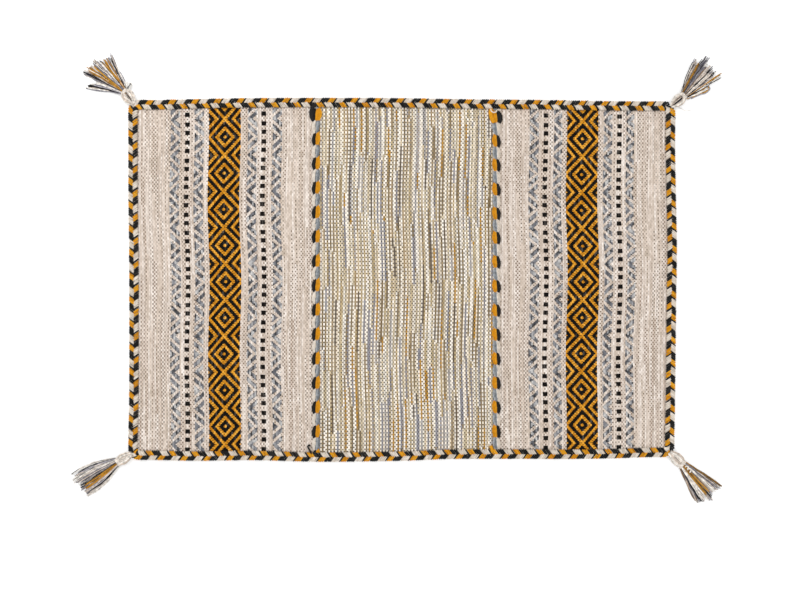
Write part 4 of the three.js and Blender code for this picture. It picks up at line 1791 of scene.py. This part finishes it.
@dataclass(frozen=True)
class Skirt:
    """The skirt of a tassel: clumps of locks, each lock of yarns of one colour. Sizes are in mm.

    Attributes:
        bulge: How much its sides bow outwards near the neck.
        tips: Tips of its clumps from one side to the other: X, Y and the letters of their locks.
        rings: Rings of a yarn.
        sides: Sides of a yarn.
        radius: Least and greatest half thickness of a yarn.
        tip_from: Share of its length at which a yarn's tip begins.
        tip_radius: Half thickness of the tip, as a share of the yarn's.
        lock_yarns: Yarns in a lock.
        lock_gap: Distance between two locks of a clump.
        lock_bend: How far a lock bends aside.
        lock_short: How much shorter than its clump a lock may be, as a share.
        yarn_gap: Distance between two yarns of a lock.
        yarn_stray: How far a yarn strays from its place.
        yarn_short: How much shorter than its lock a yarn may be, as a share.
        level_short: How much shorter each layer is than the one below it.
        root: How far behind the neck the yarns begin, how far inside its sides, and the width
            beyond the outermost clump that is drawn in there too.
        pulls: Shares of a yarn's length at which it is drawn aside.
        pull_bulge: How much further aside it is drawn there with a full bulge.
        pull_root: How much it keeps there of its place in the neck.
        wave: Least and greatest height of a yarn's waves.
        waves: Least and greatest number of them.
        wave_from: Shares of its length between which the waves set in.
        layer: Height of a layer on the floor.
        loft: How far a yarn may lie over its layer.
        neck_height: Height of the lowest layer at the neck, of a layer there, and its unevenness.
        fall: Shares of its length between which a yarn comes down to the floor.
        odd_yarns: Share of the yarns that are not of their lock's colour; the black ones serve as
            painted shade.
    """

    bulge: float
    tips: tuple[tuple[float, float, str], ...]
    rings: int = 18
    sides: int = 5
    radius: tuple[float, float] = (1.2, 1.75)
    tip_from: float = 0.93
    tip_radius: float = 0.75
    lock_yarns: int = 4
    lock_gap: float = 5.6
    lock_bend: float = 2.5
    lock_short: float = 0.05
    yarn_gap: float = 1.8
    yarn_stray: float = 1.0
    yarn_short: float = 0.06
    level_short: float = 1.5
    root: tuple[float, float, float] = (6.0, 2.5, 6.0)
    pulls: tuple[float, float] = (0.3, 0.65)
    pull_bulge: tuple[float, float] = (0.25, 0.3)
    pull_root: tuple[float, float] = (0.7, 0.25)
    wave: tuple[float, float] = (0.3, 1.1)
    waves: tuple[float, float] = (1.5, 3.5)
    wave_from: tuple[float, float] = (0.1, 0.4)
    layer: float = 2.3
    loft: float = 1.2
    neck_height: tuple[float, float, float] = (5.5, 3.0, 1.0)
    fall: tuple[float, float] = (0.05, 0.6)
    odd_yarns: float = 0.24

    def lock(self, colour: Colour, reach: np.ndarray, apart: float, drawn_in: float,
             rng: np.random.Generator) -> tuple[list, list, list]:
        """Lays one lock of the skirt.

        Args:
            colour: Its colour.
            reach: How far its clump's tip lies from the neck, along the tassel and aside.
            apart: How far its own tip lies beside the clump's.
            drawn_in: Share of its place aside that a yarn keeps in the neck.
            rng: Source of the yarns' unevenness.

        Returns:
            For each yarn its path (along, aside, up), its half thickness at each ring and its tone.
        """
        paths, radii, tones = [], [], []
        level = LOCK_LEVELS.get(colour, rng.integers(0, 3))
        bend = rng.normal(0, self.lock_bend)
        lock_length = reach[0] * (1 - abs(rng.normal(0, self.lock_short)))
        step = np.linspace(0, 1, self.rings)
        bezier = np.stack(((1 - step)**3, 3 * step * (1 - step)**2, 3 * step**2 * (1 - step),
                           step**3), axis=1)
        bottom, rise, uneven = self.neck_height
        for yarn in range(self.lock_yarns):
            stray = rng.normal(0, self.yarn_stray)
            offset = (yarn - (self.lock_yarns - 1) / 2) * self.yarn_gap + stray
            short = abs(rng.normal(0, self.yarn_short))
            length = lock_length * (1 - short) - self.level_short * level
            aside = reach[1] * length / reach[0] + apart + offset
            root = aside * drawn_in
            near, far = (
                (pull * length, (pull + more * self.bulge) * aside + kept * root)
                for pull, more, kept in zip(self.pulls, self.pull_bulge, self.pull_root)
            )
            flat = bezier @ np.array(((-self.root[0], root), near, (far[0], far[1] + bend),
                                      (length, aside)))
            wave = rng.uniform(*self.wave) * np.sin(
                2 * math.pi * rng.uniform(*self.waves) * step + rng.uniform(0, ANY_PHASE))
            flat[:, 1] += wave * smooth_step(*self.wave_from, step)
            radius = rng.uniform(*self.radius)
            low = radius + self.layer * level + rng.uniform(0, self.loft)
            high = bottom + rise * level + rng.uniform(-uneven, uneven)
            height = high + (low - high) * smooth_step(*self.fall, step)
            paths.append(np.column_stack((flat, height)))
            radii.append(np.where(step > self.tip_from, self.tip_radius, 1.0) * radius)
            mixed = ODD_AND_SHADE_TONES if rng.random() < self.odd_yarns else LOCK_TONES[colour]
            tones.append(rng.choice(mixed))
        return paths, radii, tones

    def yarns(self, head: Head, rng: np.random.Generator) -> Tubes:
        """Spreads the skirt's locks over the floor.

        Args:
            head: The head that it comes out of.
            rng: Source of the yarns' unevenness.

        Returns:
            The skirt's yarns.
        """
        neck = np.array(head.neck)
        ends = np.array([tip[:2] for tip in self.tips])
        axis = unit(ends.mean(axis=0) - neck)
        side = np.array([-axis[1], axis[0]])
        reaches = (ends - neck) @ np.stack((axis, side), axis=1)
        _, inset, spare = self.root
        drawn_in = (head.neck_half - inset) / (np.abs(reaches[:, 1]).max() + spare)
        paths, radii, tones = [], [], []
        for reach, (_, _, letters) in zip(reaches, self.tips):
            for place, letter in enumerate(letters):
                apart = (place - (len(letters) - 1) / 2) * self.lock_gap
                lock = self.lock(Colour(letter), reach, apart, drawn_in, rng)
                for total, part in zip((paths, radii, tones), lock):
                    total += part
        paths = np.array(paths)
        flat = neck + paths[:, :, :2] @ np.stack((axis, side))
        points = np.concatenate((flat, paths[:, :, 2:]), axis=2)
        both = np.repeat(np.array(radii)[:, :, None], 2, axis=2)
        return Tubes(points, both, np.array(tones), self.sides)


@dataclass(frozen=True)
class Tassel:
    """A bunch of mixed yarns at a corner of the rug.

    Attributes:
        name: Its name and its CAD node's.
        head: Its head.
        skirt: Its skirt.
        strays: Its loose ends and loops.
    """

    name: str
    head: Head
    skirt: Skirt
    strays: tuple[Stray, ...] = ()

    def build(self, rng: np.random.Generator) -> bpy.types.Object:
        """Ties the tassel.

        Args:
            rng: Source of the yarns' unevenness.

        Returns:
            The tassel.
        """
        loose = [stray.tube(LOCK_TONES[stray.colour][0]) for stray in self.strays]
        yarns = [self.skirt.yarns(self.head, rng), *self.head.yarns(rng), *loose]
        piece = yarn_piece(f"{self.name}_yarns", yarns, TASSEL_YARN.build())
        settle(piece, (self.name,))
        return piece


TASSELS = (
    Tassel(
        "tassel_back_left",
        Head(neck=(-771, 522), neck_half=8.5, half_width=18.5, opening=3.2),
        Skirt(bulge=0.0, tips=(
            (-817, 628, "gcg"), (-830, 618, "mc"), (-839, 617, "cmk"), (-850, 613, "cg"),
            (-863, 614, "cgc"), (-868, 601, "cmcg"), (-884, 596, "mc"), (-892, 586, "mgk"),
            (-893, 574, "c"), (-858, 549, "ccg"), (-884, 540, "ckg"),
        )),
        strays=(
            Stray(Colour.CREAM, 1.8, 8.0, ((-768, 526), (-766, 540), (-764, 553))),
            Stray(Colour.CREAM, 1.8, 7.0, ((-771, 527), (-771, 540), (-770, 551))),
            Stray(Colour.CREAM, 1.8, 6.0, ((-766, 527), (-760, 540), (-756, 548), (-752, 544),
                                           (-755, 534), (-763, 528))),
            Stray(Colour.BLACK, 1.0, 9.5, ((-765, 530), (-758, 540), (-755, 546), (-753, 540))),
            Stray(Colour.CREAM, 1.6, 3.0, ((-769, 531), (-775, 554), (-783, 570), (-791, 585))),
            Stray(Colour.GREY, 1.4, 3.0, ((-767, 531), (-772, 554), (-780, 570), (-789, 583))),
        )),
    Tassel(
        "tassel_front_left",
        Head(neck=(-789, -506), neck_half=12, half_width=15.5, opening=0.5),
        Skirt(bulge=1.0, tips=(
            (-922, -548, "cgc"), (-922, -567, "ccg"), (-901, -561, "cgc"), (-899, -580, "ckg"),
            (-891, -582, "mb"), (-893, -601, "mgk"), (-880, -602, "bc"), (-870, -595, "cgc"),
        ))),
    Tassel(
        "tassel_back_right",
        Head(neck=(781, 510), neck_half=10, half_width=16.5, opening=5.5),
        Skirt(bulge=0.4, tips=(
            (813, 608, "gc"), (822, 615, "mcb"), (850, 625, "cgk"), (852, 601, "cbc"),
            (866, 597, "ckg"), (870, 585, "cgc"), (872, 578, "ckc"), (898, 575, "cm"),
            (850, 538, "cmc"),
        )),
        strays=(
            Stray(Colour.CREAM, 0.8, 2.0, ((766, 482), (780, 473), (790, 470), (804, 472))),
            Stray(Colour.MUSTARD, 1.7, 3.0, ((791, 502), (813, 516), (834, 528), (850, 540),
                                             (853, 532), (844, 522), (826, 518), (803, 506))),
            Stray(Colour.GREY, 1.5, 3.0, ((794, 502), (815, 512), (836, 524), (853, 540),
                                          (857, 531), (846, 519), (826, 514), (803, 503))),
        )),
    Tassel(
        "tassel_front_right",
        Head(neck=(777, -512), neck_half=12, half_width=17.0, opening=0.8),
        Skirt(bulge=0.2, tips=(
            (893, -584, "gcm"), (884, -588, "cbc"), (878, -600, "gcg"), (863, -616, "cgk"),
            (856, -598, "mbm"), (847, -616, "cgc"), (839, -622, "kcg"), (829, -626, "bcg"),
        )),
        strays=(
            Stray(Colour.CREAM, 1.5, 13.0, ((785, -520), (791, -517), (794, -521), (791, -529))),
            Stray(Colour.CREAM, 1.5, 13.0, ((794, -526), (799, -524), (802, -529), (798, -536))),
        )),
)


# Studio

@dataclass(frozen=True)
class SoftLight:
    """A square area light that faces the middle of the rug.

    Attributes:
        name: Its name.
        place: Where it stands, in metres.
        power: Its power, in watts.
        size: Its side, in metres.
    """

    name: str
    place: tuple[float, float, float]
    power: float
    size: float

    def build(self) -> None:
        """Hangs the light."""
        light = bpy.data.lights.new(self.name, "AREA")
        light.energy = self.power
        light.size = self.size
        holder = bpy.data.objects.new(self.name, light)
        holder.location = self.place
        x, y, z = self.place
        tilt = math.atan2(math.hypot(x, y), z)
        holder.rotation_euler = (tilt, 0, math.atan2(-y, -x) - math.pi / 2)
        bpy.context.scene.collection.objects.link(holder)


@dataclass
class Studio:
    """A pale floor, soft light and a camera straight above the rug.

    Attributes:
        frame_width: Width that the camera sees at the floor, in metres.
        centre: X and Y that it looks at, in metres.
        lens: Focal length, in mm.
        sensor: Width of the camera's sensor, in mm.
        sight: How far the camera sees, in metres.
        floor_size: Side of the floor, in metres.
        sky: Strength of the even light from all around.
        lights: The lights.
    """

    frame_width: float = 2.210
    centre: tuple[float, float] = (-0.0146, -0.0494)
    lens: float = 85.0
    sensor: float = 36.0
    sight: float = 50
    floor_size: float = 12
    sky: float = 0.84
    lights: tuple[SoftLight, ...] = (
        SoftLight("key_light", (-1.8, 1.9, 2.6), power=42.0, size=2.2),
        SoftLight("fill_light", (2.2, -1.6, 2.8), power=20.0, size=2.6),
    )

    def build(self) -> None:
        """Sets the floor, the light and the camera."""
        scene = bpy.context.scene
        bpy.ops.object.select_all(action="DESELECT")
        bpy.ops.mesh.primitive_plane_add(size=self.floor_size)
        floor = bpy.context.active_object
        floor.name = "studio_floor"
        # White paper: matt, and so evenly lit that hardly a shadow shows on it
        material, tree = new_tree("white_paper")
        shader = add_node(tree, "ShaderNodeBsdfPrincipled", {
            "Base Color": linear("#fafafa"), "Roughness": 1.0, "Specular IOR Level": 0.0,
            "Emission Color": linear("#ffffff"), "Emission Strength": 0.25,
        })
        add_node(tree, "ShaderNodeOutputMaterial", {"Surface": shader})
        floor.data.materials.append(material)

        world = bpy.data.worlds.new("studio")
        world.use_nodes = True
        background = world.node_tree.nodes["Background"]
        background.inputs["Color"].default_value = linear("#ffffff")
        background.inputs["Strength"].default_value = self.sky
        scene.world = world
        for light in self.lights:
            light.build()

        camera = bpy.data.cameras.new("camera")
        camera.lens = self.lens
        camera.sensor_width = self.sensor
        camera.clip_end = self.sight
        holder = bpy.data.objects.new("camera", camera)
        holder.location = (*self.centre, self.frame_width * self.lens / self.sensor)
        scene.collection.objects.link(holder)
        scene.camera = holder
        scene.view_settings.view_transform = "Standard"


LEFT_JOIN, RIGHT_JOIN = JOIN_X["left"], JOIN_X["right"]
PANELS = (
    WovenPanel("left_patterned_panel", "left_panel", "cream_cloth",
               left=None, right=LEFT_JOIN - JOIN_GAP / 2, bands=LEFT_BANDS),
    WovenPanel("centre_striated_panel", "centre_panel", "striated_cloth",
               left=LEFT_JOIN + JOIN_GAP / 2, right=RIGHT_JOIN - JOIN_GAP / 2, bands=None),
    WovenPanel("right_patterned_panel", "right_panel", "cream_cloth",
               left=RIGHT_JOIN + JOIN_GAP / 2, right=None, bands=RIGHT_BANDS),
)


def main() -> None:
    """Builds the rug's pieces in order."""
    logging.basicConfig(level=logging.INFO, format="%(message)s")
    rng = np.random.default_rng(SEED)
    Studio().build()
    for assembly in (*PANELS, EdgePlait(), *JOINS, *TASSELS):
        assembly.build(rng)


if __name__ == "__main__":
    main()
